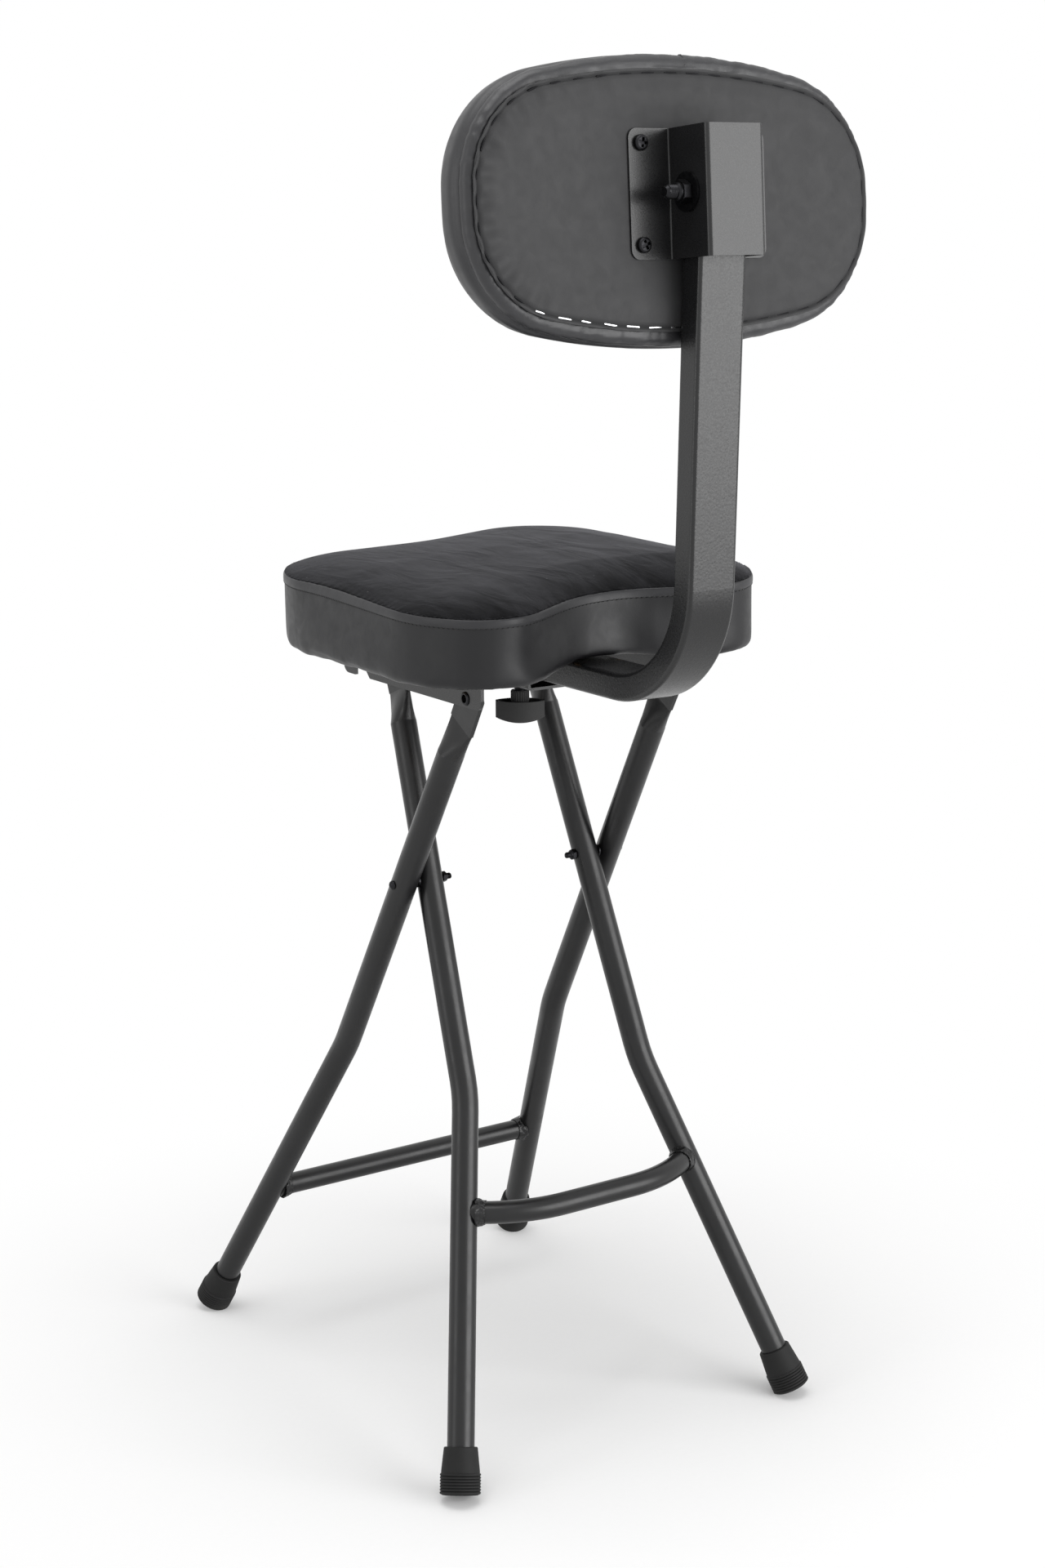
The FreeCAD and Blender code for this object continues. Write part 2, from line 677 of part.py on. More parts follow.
def seat_board(clearance=0.0):
    """Plywood board under the foam, or its pocket where a clearance is given."""
    face = seat_outline(PLATE_TOP_Z, BOARD_INSET - clearance)
    board = face.extrude(V(0, 0, BOARD_T + clearance))
    if clearance > 0:
        skirt = face.copy()
        skirt.translate(V(0, 0, -2 * PAD_BELOW_BOARD))
        return board.fuse(skirt.extrude(V(0, 0, 2 * PAD_BELOW_BOARD)))
    for x, y in seat_screw_places():
        hole = Part.makeCylinder(SEAT_SCREW_D / 2 + SEATED, SEAT_SCREW_BITE, V(x, y, PLATE_TOP_Z))
        board = board.cut(hole)
    return board


def seat_pad():
    """Foam and cover as one plain cushion round the board."""
    low = PLATE_TOP_Z - PAD_BELOW_BOARD
    cushion = seat_outline(low).extrude(V(0, 0, PAD_TOP_Z - low))
    cushion = cushion.makeFillet(PAD_TOP_R, edges_at(cushion, lambda p: near(p.z, PAD_TOP_Z)))
    cushion = cushion.makeFillet(PAD_BOTTOM_R, edges_at(cushion, lambda p: near(p.z, low)))
    return cushion.cut(seat_board(SOFT_GAP))


def pan_screw(diameter, head_d, head_h, length):
    """Screw on Z: domed head from z = 0 downwards, plain shank upwards."""
    head = dome_head(head_d, head_h)
    head.rotate(ORIGIN, X_AXIS, 180)
    r = diameter / 2
    shank = turned([(0, 0), (r, 0), (r, length - 1.5), (r - 1.2, length), (0, length)])
    return head.fuse(shank).removeSplitter()


def seat_screws():
    """Four screws from below through the plate into the board."""
    screws = []
    for x, y in seat_screw_places():
        screw = pan_screw(SEAT_SCREW_D, SEAT_SCREW_HEAD_D, SEAT_SCREW_HEAD_H, PLATE_T + SEAT_SCREW_BITE - 0.5)
        screw.translate(V(x, y, PLATE_TOP_Z - PLATE_T))
        screws.append(screw)
    return screws


# Post and clamp


def post_axis():
    """Centre line of the post: level arm, bend and leaning upright, and the tilt bolt's place on it."""
    z = PLATE_TOP_Z - PLATE_T - SOCKET_WALL - POST_SOCKET_GAP - POST_T / 2
    lean = math.radians(POST_LEAN)
    corner_y = POST_Y - POST_BEND_R * math.tan(lean) * 0.5
    up = V(0, math.sin(lean), math.cos(lean))
    corner = V(0, corner_y, z)
    bolt = corner + up * ((TILT_Z - z) / up.z)
    top = bolt + up * POST_ABOVE_BOLT
    return [V(0, POST_FRONT_Y, z), corner, top], up, bolt


def post_bar(width, depth, radius):
    """Rounded rectangular bar swept along the post's centre line."""
    points = post_axis()[0]
    section = rectangle(width, depth, radius)
    section.translate(points[0])
    return swept(section, points, POST_BEND_R)


def backrest_post():
    """Bent rectangular tube, drilled for the tilt bolt."""
    bolt = post_axis()[2]
    outside = post_bar(POST_W, POST_T, POST_CORNER_R)
    inside = post_bar(POST_W - 2 * POST_WALL, POST_T - 2 * POST_WALL, POST_CORNER_R - POST_WALL)
    hole = rod_x(TILT_BOLT_D + 2 * RUNNING, -POST_W, POST_W, bolt.y, bolt.z)
    return outside.cut(inside).cut(hole)


def post_plug():
    """Plastic end plug along -Y: lip outside the tube, spigot inside it."""
    lip = rectangle(POST_W, POST_T, POST_CORNER_R).extrude(V(0, -PLUG_LIP, 0))
    lip = lip.makeChamfer(PLUG_LIP * 0.4, edges_at(lip, lambda p: near(p.y, -PLUG_LIP)))
    inner = 2 * (POST_WALL + PLUG_FIT)
    spigot = rectangle(POST_W - inner, POST_T - inner, POST_CORNER_R - POST_WALL).extrude(V(0, PLUG_SPIGOT, 0))
    return lip.fuse(spigot)


def post_plugs():
    """Plugs of the arm's front end and of the upright's top."""
    points, up, bolt = post_axis()
    front = post_plug()
    front.translate(points[0])
    top = post_plug()
    top.rotate(ORIGIN, X_AXIS, -90 - POST_LEAN)
    top.translate(points[2])
    return [front, top]


def clamp_screw():
    """Threaded rod of the thumb screw, up to just under the post."""
    points = post_axis()[0]
    low = KNOB_TOP_Z + KNOB_BOSS_H - KNOB_SCREW_BITE
    high = points[0].z - POST_T / 2 - CLAMP_POST_GAP
    r = CLAMP_D / 2
    screw = turned([(0, low), (r, low), (r, high - 1), (r - 1, high), (0, high)])
    screw.translate(V(0, CLAMP_Y, 0))
    return screw


def knob_outline(length, width, end_width):
    """Lens-shaped plan of the wing knob with blunt ends."""
    x = length / 2
    y = end_width / 2
    edges = [Part.Arc(V(-x, -y, 0), V(0, -width / 2, 0), V(x, -y, 0)).toShape(),
             Part.LineSegment(V(x, -y, 0), V(x, y, 0)).toShape(),
             Part.Arc(V(x, y, 0), V(0, width / 2, 0), V(-x, y, 0)).toShape(),
             Part.LineSegment(V(-x, y, 0), V(-x, -y, 0)).toShape()]
    return Part.Face(Part.Wire(edges))


def clamp_knob():
    """Moulded wing knob: sagging base, hollowed top and a boss round the screw."""
    body = knob_outline(KNOB_L, KNOB_W, KNOB_END_W).extrude(V(0, 0, KNOB_H))
    sag_r = (KNOB_L * KNOB_L / 4 + KNOB_SAG * KNOB_SAG) / (2 * KNOB_SAG)
    drum = Part.makeCylinder(sag_r, 2 * KNOB_W, V(0, -KNOB_W, sag_r), Y_AXIS)
    body = body.common(drum)
    body = body.makeFillet(KNOB_END_W * 0.3, edges_at(body, lambda p: near(abs(p.x), KNOB_L / 2)
                                                      and near(abs(p.y), KNOB_END_W / 2)))
    wall = 2 * KNOB_WALL
    hollow = knob_outline(KNOB_L - wall, KNOB_W - wall, KNOB_END_W - KNOB_WALL).extrude(V(0, 0, KNOB_RECESS))
    hollow.translate(V(0, 0, KNOB_H - KNOB_RECESS))
    boss_h = KNOB_BOSS_H + KNOB_RECESS
    boss = Part.makeCylinder(KNOB_BOSS_D / 2, boss_h, V(0, 0, KNOB_H - KNOB_RECESS))
    bore_low = KNOB_H + KNOB_BOSS_H - KNOB_SCREW_BITE
    bore = Part.makeCylinder(CLAMP_D / 2 + PLUG_FIT, KNOB_SCREW_BITE, V(0, 0, bore_low))
    knob = body.cut(hollow).fuse(boss).cut(bore)
    knob.rotate(ORIGIN, Z_AXIS, KNOB_TURN)
    knob.translate(V(0, CLAMP_Y, KNOB_TOP_Z - KNOB_H))
    return knob


# Backrest, about its tilt bolt's axis


def tilted(shape):
    """Tilts a backrest piece forward about the bolt and moves it to the post."""
    bolt = post_axis()[2]
    moved = shape.copy()
    moved.rotate(ORIGIN, X_AXIS, BACKREST_TILT)
    moved.translate(bolt)
    return moved


def hat_screw_places():
    """Places of the four bracket screws on the flanges."""
    return [(sx * HAT_SCREW_X, sz * HAT_SCREW_Z) for sx in (-1, 1) for sz in (-1, 1)]


def backrest_bracket():
    """Hat-section bracket: two flanges on the board, a box round the post."""
    f = HAT_FRONT_Y
    r = HAT_REAR_Y
    t = HAT_T
    w = HAT_HALF_W
    low = -HAT_H / 2
    edge = HAT_FLANGE_X
    half = [(edge, f), (edge, f + t), (w, f + t), (w, r)]
    inner = [(w - t, r - t), (w - t, f)]
    points = [V(x, y, low) for x, y in half]
    points += [V(-x, y, low) for x, y in reversed(half)]
    points += [V(-x, y, low) for x, y in reversed(inner)]
    points += [V(x, y, low) for x, y in inner]
    tight = HAT_BEND_R - t
    radii = [0, 0, tight, HAT_BEND_R, HAT_BEND_R, tight, 0, 0, HAT_BEND_R, tight, tight, HAT_BEND_R]
    hat = rounded_face(points, radii).extrude(V(0, 0, HAT_H))
    corners = edges_at(hat, lambda p: near(abs(p.x), edge) and near(abs(p.z), HAT_H / 2))
    hat = hat.makeFillet(HAT_CORNER_R, corners)
    hat = hat.cut(rod_x(TILT_BOLT_D + 2 * SEATED, -2 * w, 2 * w))
    for x, z in hat_screw_places():
        hat = hat.cut(Part.makeCylinder(HAT_SCREW_D / 2 + SCREW_HOLE_CLEAR, 3 * t, V(x, f - t, z), Y_AXIS))
    return hat


def bracket_screws():
    """Four screws through the flanges into the board."""
    screws = []
    for x, z in hat_screw_places():
        screw = pan_screw(HAT_SCREW_D, HAT_SCREW_HEAD_D, HAT_SCREW_HEAD_H, HAT_T + PANEL_T + HAT_SCREW_BITE - 0.5)
        screw.rotate(ORIGIN, X_AXIS, 90)
        screw.translate(V(x, HAT_FRONT_Y + HAT_T, z))
        screws.append(screw)
    return screws


def tilt_bolt():
    """Bolt along X with its head at the right, two washers and the nut at the left."""
    left = HAT_HALF_W
    right = -HAT_HALF_W - TILT_WASHER_T
    r = TILT_BOLT_D / 2
    length = left + TILT_WASHER_T + TILT_NUT_H + TILT_BOLT_END - right
    shank = turned([(0, 0), (r, 0), (r, length - 1.5), (r - 1.2, length), (0, length)])
    bolt = along_x(shank, right, 0, 0).fuse(along_x(hexagon(TILT_HEAD_AF, TILT_HEAD_H, 0), right, 0, 0, flip=True))
    bore = TILT_BOLT_D + 2 * SEATED
    ring = washer(TILT_WASHER_D, bore, TILT_WASHER_T)
    rings = [along_x(ring, left, 0, 0), along_x(ring, right, 0, 0)]
    nut = along_x(lock_nut(TILT_HEAD_AF, TILT_NUT_H, bore), left + TILT_WASHER_T, 0, 0)
    return bolt.removeSplitter(), rings, nut


def backrest_slab(inset, y_rear, thickness):
    """Oval slab whose rear face is at a given y, set a little to the left of the bolt's middle and below it."""
    face = oval(inset)
    face.translate(V(BACK_PAD_SHIFT, y_rear, -BACK_PAD_DROP))
    return face.extrude(V(0, -thickness, 0))


def drilled(slab, depth):
    """Slab with the bracket screws' holes in its rear."""
    for x, z in hat_screw_places():
        start = V(x, HAT_FRONT_Y, z)
        slab = slab.cut(Part.makeCylinder(HAT_SCREW_D / 2 + SEATED, depth, start, V(0, -1, 0)))
    return slab


def backrest_panel():
    """Vinyl panel over the board's rear, under the bracket."""
    return drilled(backrest_slab(PANEL_INSET, HAT_FRONT_Y, PANEL_T), PANEL_T)


def backrest_board():
    """Plywood board behind the foam."""
    board = backrest_slab(BACK_BOARD_INSET, HAT_FRONT_Y - PANEL_T, BACK_BOARD_T)
    return drilled(board, PANEL_T + HAT_SCREW_BITE)


def backrest_pad():
    """Foam and cover as one plain cushion round the board."""
    rear = HAT_FRONT_Y - PANEL_T - SOFT_GAP
    front = rear - BACK_PAD_T
    pad = backrest_slab(0, rear, BACK_PAD_T)
    pad = pad.makeFillet(BACK_PAD_FRONT_R, edges_at(pad, lambda p: near(p.y, front)))
    pad = pad.makeFillet(BACK_PAD_REAR_R, edges_at(pad, lambda p: near(p.y, rear)))
    pocket = backrest_slab(BACK_BOARD_INSET - SOFT_GAP, rear + 1, BACK_BOARD_T + 1)
    return pad.cut(pocket)


# Assembly


def build():
    """All nodes by name, with the crossing bolts' axis at y = 0."""
    nodes = {}
    for name, frame, hole, end in (("outer", OUTER, RIVET_D + 2 * RUNNING, "front"),
                                   ("inner", INNER, ROD_D + 2 * SEATED, "rear")):
        left_leg = frame.placed(leg(frame, hole))
        left_foot = frame.placed(foot(frame))
        nodes[name + "_leg_left"] = left_leg
        nodes[name + "_leg_right"] = mirrored(left_leg)
        nodes["foot_" + end + "_left"] = left_foot
        nodes["foot_" + end + "_right"] = mirrored(left_foot)
    bar, weld = outer_crossbar()
    nodes["outer_crossbar"] = OUTER.placed(bar)
    weld = OUTER.placed(weld)
    nodes["outer_welds"] = [weld, mirrored(weld)]
    bar, weld = inner_crossbar()
    nodes["inner_crossbar"] = bar
    nodes["inner_welds"] = [weld, mirrored(weld)]
    bolt, ring, nut = crossing_bolt()
    nodes["crossing_bolt_left"] = bolt
    nodes["crossing_bolt_right"] = mirrored(bolt)
    nodes["crossing_washers"] = [ring, mirrored(ring)]
    nodes["crossing_nuts"] = [nut, mirrored(nut)]
    rod, cap = front_rod()
    nodes["front_rod"] = rod
    nodes["rod_push_nuts"] = [cap, mirrored(cap)]
    rivet = pivot_rivet()
    nodes["seat_bracket"] = seat_bracket()
    nodes["pivot_rivets"] = [rivet, mirrored(rivet)]
    socket, weld = post_socket()
    nodes["post_socket"] = socket
    nodes["socket_welds"] = [weld, mirrored(weld)]
    nodes["clamp_nut"] = clamp_nut()
    nodes["seat_screws"] = seat_screws()
    nodes["seat_board"] = seat_board()
    nodes["seat_pad"] = seat_pad()
    nodes["clamp_screw"] = clamp_screw()
    nodes["clamp_knob"] = clamp_knob()
    nodes["backrest_post"] = backrest_post()
    nodes["post_plugs"] = post_plugs()
    bolt, rings, nut = tilt_bolt()
    nodes["backrest_bracket"] = tilted(backrest_bracket())
    nodes["bracket_screws"] = [tilted(screw) for screw in bracket_screws()]
    nodes["tilt_bolt"] = tilted(bolt)
    nodes["tilt_washers"] = [tilted(ring) for ring in rings]
    nodes["tilt_nut"] = tilted(nut)
    nodes["backrest_panel"] = tilted(backrest_panel())
    nodes["backrest_board"] = tilted(backrest_board())
    nodes["backrest_pad"] = tilted(backrest_pad())
    return nodes


def export(nodes):
    """Centres the nodes over the origin, writes them and prints the moving axes' places."""
    shapes = {}
    for name, shape in nodes.items():
        shapes[name] = Part.Compound(shape) if isinstance(shape, list) else shape
    box = Part.Compound(list(shapes.values())).optimalBoundingBox(False, False)
    shift = V(0, -(box.YMin + box.YMax) / 2, 0)
    os.makedirs("parts", exist_ok=True)
    for name, shape in shapes.items():
        moved = shape.copy()
        moved.translate(shift)
        moved.exportStep("parts/" + name + ".step")
    print("size %.1f x %.1f x %.1f, floor at %.3f" % (box.XLength, box.YLength, box.ZLength, box.ZMin))
    axes = {"crossing": V(0, 0, CROSS_Z), "pivot": PIVOT, "rod": ROD, "clamp": V(0, CLAMP_Y, KNOB_TOP_Z),
            "tilt": post_axis()[2]}
    for name, place in axes.items():
        print("%s axis at y %.3f z %.3f" % (name, place.y + shift.y, place.z))


export(build())
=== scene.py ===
"""Folding guitar stool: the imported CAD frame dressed, padded and lit for its picture."""

import json
import logging
import math
from collections.abc import Iterator
from contextlib import contextmanager
from dataclasses import dataclass, field
from enum import Enum

import bpy
import numpy as np
from mathutils import Matrix, Vector, noise
from mathutils.bvhtree import BVHTree


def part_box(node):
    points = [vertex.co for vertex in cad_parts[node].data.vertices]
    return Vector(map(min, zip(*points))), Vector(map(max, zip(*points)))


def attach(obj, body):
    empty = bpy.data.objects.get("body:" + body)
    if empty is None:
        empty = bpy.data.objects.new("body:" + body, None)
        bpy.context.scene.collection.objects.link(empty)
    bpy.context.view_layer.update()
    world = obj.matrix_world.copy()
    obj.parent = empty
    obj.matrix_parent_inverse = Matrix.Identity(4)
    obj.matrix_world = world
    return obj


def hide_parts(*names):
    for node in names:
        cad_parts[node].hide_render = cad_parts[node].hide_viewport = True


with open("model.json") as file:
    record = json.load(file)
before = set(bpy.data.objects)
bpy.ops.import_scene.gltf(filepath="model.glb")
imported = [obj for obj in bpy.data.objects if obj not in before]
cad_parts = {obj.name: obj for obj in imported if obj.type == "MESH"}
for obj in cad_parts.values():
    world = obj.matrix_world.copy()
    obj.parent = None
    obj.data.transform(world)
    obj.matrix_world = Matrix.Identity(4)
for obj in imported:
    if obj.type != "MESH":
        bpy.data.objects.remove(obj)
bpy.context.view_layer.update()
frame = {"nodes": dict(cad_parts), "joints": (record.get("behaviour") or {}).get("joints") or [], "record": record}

LOG = logging.getLogger("guitar_stool")
MM = 0.001
# The most points that Blender's ring primitive can have.
RING_POINTS = 256
# Nearly all of a noise texture lies between these values.
NOISE_LOW = 0.3
NOISE_HIGH = 0.7
Obj = bpy.types.Object
Tree = bpy.types.NodeTree
Node = bpy.types.Node
Socket = bpy.types.NodeSocket


# Finishes


def linear(code: str) -> tuple[float, float, float, float]:
    """Turn an sRGB hex colour into the linear colour that a shader takes.

    Args:
        code: The colour as "#rrggbb".

    Returns:
        Red, green, blue and alpha in linear light.
    """
    parts = [int(code[i:i + 2], 16) / 255 for i in (1, 3, 5)]
    parts = [c / 12.92 if c <= 0.04045 else ((c + 0.055) / 1.055) ** 2.4 for c in parts]
    return (*parts, 1.0)


def connect(tree: Tree, node: Node, inputs: dict[str | int, object]) -> None:
    """Set a node's inputs to values, or link them.

    Args:
        tree: The node tree.
        node: The node.
        inputs: Values, sockets, or nodes whose first output is meant, by input name or number.
    """
    for key, value in inputs.items():
        if isinstance(value, Node):
            value = next(out for out in value.outputs if out.enabled)
        if isinstance(value, Socket):
            tree.links.new(value, node.inputs[key])
        else:
            node.inputs[key].default_value = value


def add_node(tree: Tree, kind: str, inputs: dict[str | int, object] | None = None,
             **settings: object) -> Node:
    """Add one node to a material or world, with its settings, values and links.

    Args:
        tree: The node tree.
        kind: The node's class name after "ShaderNode".
        inputs: As in connect.
        settings: The node's own properties.

    Returns:
        The new node.
    """
    made = tree.nodes.new("ShaderNode" + kind)
    for key, value in settings.items():
        setattr(made, key, value)
    connect(tree, made, inputs or {})
    return made


def per_mm(size: float) -> float:
    """Texture scale of a pattern whose grain is this many millimetres."""
    return 1000.0 / size


@dataclass(frozen=True)
class Finish:
    """A surface finish: one procedural material, made once and shared."""

    name: str

    def material(self) -> bpy.types.Material:
        """Make the material, or find it if it is made already.

        Returns:
            The material.
        """
        found = bpy.data.materials.get(self.name)
        if found:
            return found
        made = bpy.data.materials.new(self.name)
        made.use_nodes = True
        tree = made.node_tree
        place = add_node(tree, "TexCoord").outputs["Object"]
        self.dress(tree, tree.nodes["Principled BSDF"], place)
        return made

    def dress(self, tree: Tree, shader: Node, place: Socket) -> None:
        """Set the shader up. Each finish has its own.

        Args:
            tree: The material's node tree.
            shader: Its Principled shader.
            place: Object coordinates in metres.
        """
        raise NotImplementedError


@dataclass(frozen=True)
class BakedEnamel(Finish):
    """Gloss-to-satin enamel baked on drawn steel tube: long soft highlights with a faint orange peel."""

    dark: str = "#0e0e0f"
    pale: str = "#161617"
    smooth: float = 0.27
    rough: float = 0.4
    shine: float = 0.42
    cloud_mm: float = 38.0
    handling_mm: float = 14.0
    peel_mm: float = 2.6
    peel_depth_mm: float = 0.03

    def dress(self, tree: Tree, shader: Node, place: Socket) -> None:
        """Set the shader up.

        Args:
            tree: The material's node tree.
            shader: Its Principled shader.
            place: Object coordinates in metres.
        """
        cloud = add_node(tree, "TexNoise", {"Vector": place, "Scale": per_mm(self.cloud_mm), "Detail": 4.0})
        tone = add_node(tree, "ValToRGB", {"Fac": cloud})
        for stop, at, code in zip(tone.color_ramp.elements, (0.35, 0.7), (self.dark, self.pale)):
            stop.position = at
            stop.color = linear(code)
        handled = add_node(tree, "TexNoise", {
            "Vector": place, "Scale": per_mm(self.handling_mm), "Detail": 6.0, "Roughness": 0.65})
        gloss = add_node(tree, "MapRange", {
            "Value": handled, "From Min": NOISE_LOW, "From Max": NOISE_HIGH, "To Min": self.smooth,
            "To Max": self.rough})
        peel = add_node(tree, "TexNoise", {"Vector": place, "Scale": per_mm(self.peel_mm), "Detail": 2.0})
        bump = add_node(tree, "Bump", {"Height": peel, "Strength": 0.6, "Distance": self.peel_depth_mm * MM})
        connect(tree, shader, {"Base Color": tone, "Roughness": gloss, "Specular IOR Level": self.shine,
                               "Normal": bump})


@dataclass(frozen=True)
class TexturedPowder(Finish):
    """Textured black powder coat: a pebbled skin whose grains each catch a point of light."""

    dark: str = "#121213"
    pale: str = "#1c1c1d"
    # Coarser than real grains, so that they show.
    grain_mm: float = 1.9
    grain_depth_mm: float = 0.09
    fine_share: float = 0.6
    cloud_mm: float = 24.0
    smooth: float = 0.3
    rough: float = 0.42

    def dress(self, tree: Tree, shader: Node, place: Socket) -> None:
        """Set the shader up.

        Args:
            tree: The material's node tree.
            shader: Its Principled shader.
            place: Object coordinates in metres.
        """
        pebbles = add_node(tree, "TexVoronoi", {
            "Vector": place, "Scale": per_mm(self.grain_mm), "Smoothness": 0.6, "Randomness": 1.0},
            feature="SMOOTH_F1")
        fine = add_node(tree, "TexNoise", {
            "Vector": place, "Scale": per_mm(self.grain_mm * self.fine_share), "Detail": 3.0})
        height = add_node(tree, "Math", {0: pebbles, 1: fine}, operation="ADD")
        bump = add_node(tree, "Bump", {
            "Height": height, "Strength": 0.55, "Distance": self.grain_depth_mm * MM})
        cloud = add_node(tree, "TexNoise", {"Vector": place, "Scale": per_mm(self.cloud_mm), "Detail": 5.0})
        tone = add_node(tree, "Mix", {
            "Factor": cloud, "A": linear(self.dark), "B": linear(self.pale)}, data_type="RGBA")
        gloss = add_node(tree, "MapRange", {
            "Value": fine, "From Min": NOISE_LOW, "From Max": NOISE_HIGH, "To Min": self.smooth,
            "To Max": self.rough})
        connect(tree, shader, {"Normal": bump, "Base Color": tone, "Roughness": gloss})


@dataclass(frozen=True)
class MouldedRubber(Finish):
    """Moulded black rubber: dull, faintly mottled, with floor dust on its lowest edge."""

    dark: str = "#0f0f0f"
    pale: str = "#1b1b1b"
    dust: str = "#3a3937"
    dust_height_mm: float = 9.0
    dust_share: float = 0.7
    mottle_mm: float = 6.0
    # Coarser than the mould's real grain, so that it shows.
    grain_mm: float = 0.9
    grain_depth_mm: float = 0.06
    rough: float = 0.68
    shine: float = 0.3

    def dress(self, tree: Tree, shader: Node, place: Socket) -> None:
        """Set the shader up.

        Args:
            tree: The material's node tree.
            shader: Its Principled shader.
            place: Object coordinates in metres.
        """
        mottle = add_node(tree, "TexNoise", {"Vector": place, "Scale": per_mm(self.mottle_mm), "Detail": 6.0})
        tone = add_node(tree, "Mix", {
            "Factor": mottle, "A": linear(self.dark), "B": linear(self.pale)}, data_type="RGBA")
        height = add_node(tree, "SeparateXYZ", {0: place})
        low = add_node(tree, "MapRange", {
            "Value": height.outputs["Z"], "From Min": 0.0, "From Max": self.dust_height_mm * MM,
            "To Min": self.dust_share, "To Max": 0.0})
        patch = add_node(tree, "Math", {0: low, 1: mottle}, operation="MULTIPLY")
        dusty = add_node(tree, "Mix", {"Factor": patch, "A": tone, "B": linear(self.dust)}, data_type="RGBA")
        grain = add_node(tree, "TexNoise", {"Vector": place, "Scale": per_mm(self.grain_mm), "Detail": 3.0})
        bump = add_node(tree, "Bump", {
            "Height": grain, "Strength": 0.5, "Distance": self.grain_depth_mm * MM})
        connect(tree, shader, {"Base Color": dusty, "Roughness": self.rough,
                               "Specular IOR Level": self.shine, "Normal": bump})


@dataclass(frozen=True)
class MouldedPlastic(Finish):
    """Injection-moulded black plastic: fine spark-eroded grain and a soft, even shine."""

    colour: str = "#131314"
    # Coarser than real spark erosion, so that it shows.
    grain_mm: float = 0.7
    grain_depth_mm: float = 0.04
    smooth: float = 0.35
    rough: float = 0.49
    shine: float = 0.36

    def dress(self, tree: Tree, shader: Node, place: Socket) -> None:
        """Set the shader up.

        Args:
            tree: The material's node tree.
            shader: Its Principled shader.
            place: Object coordinates in metres.
        """
        grain = add_node(tree, "TexNoise", {"Vector": place, "Scale": per_mm(self.grain_mm), "Detail": 4.0})
        gloss = add_node(tree, "MapRange", {
            "Value": grain, "From Min": NOISE_LOW, "From Max": NOISE_HIGH, "To Min": self.smooth,
            "To Max": self.rough})
        bump = add_node(tree, "Bump", {
            "Height": grain, "Strength": 0.4, "Distance": self.grain_depth_mm * MM})
        connect(tree, shader, {"Base Color": linear(self.colour), "Specular IOR Level": self.shine,
                               "Roughness": gloss, "Normal": bump})


@dataclass(frozen=True)
class PlatedSteel(Finish):
    """Plated steel hardware: a metal sheen broken by fine handling marks."""

    dark: str = "#1d1d1f"
    pale: str = "#38383a"
    smooth: float = 0.3
    rough: float = 0.48
    marks_mm: float = 2.5
    marks_depth_mm: float = 0.02

    def dress(self, tree: Tree, shader: Node, place: Socket) -> None:
        """Set the shader up.

        Args:
            tree: The material's node tree.
            shader: Its Principled shader.
            place: Object coordinates in metres.
        """
        marks = add_node(tree, "TexNoise", {
            "Vector": place, "Scale": per_mm(self.marks_mm), "Detail": 6.0, "Roughness": 0.7})
        tone = add_node(tree, "Mix", {
            "Factor": marks, "A": linear(self.dark), "B": linear(self.pale)}, data_type="RGBA")
        gloss = add_node(tree, "MapRange", {
            "Value": marks, "From Min": NOISE_LOW, "From Max": NOISE_HIGH, "To Min": self.smooth,
            "To Max": self.rough})
        bump = add_node(tree, "Bump", {
            "Height": marks, "Strength": 0.3, "Distance": self.marks_depth_mm * MM})
        connect(tree, shader, {"Metallic": 1.0, "Base Color": tone, "Roughness": gloss, "Normal": bump})


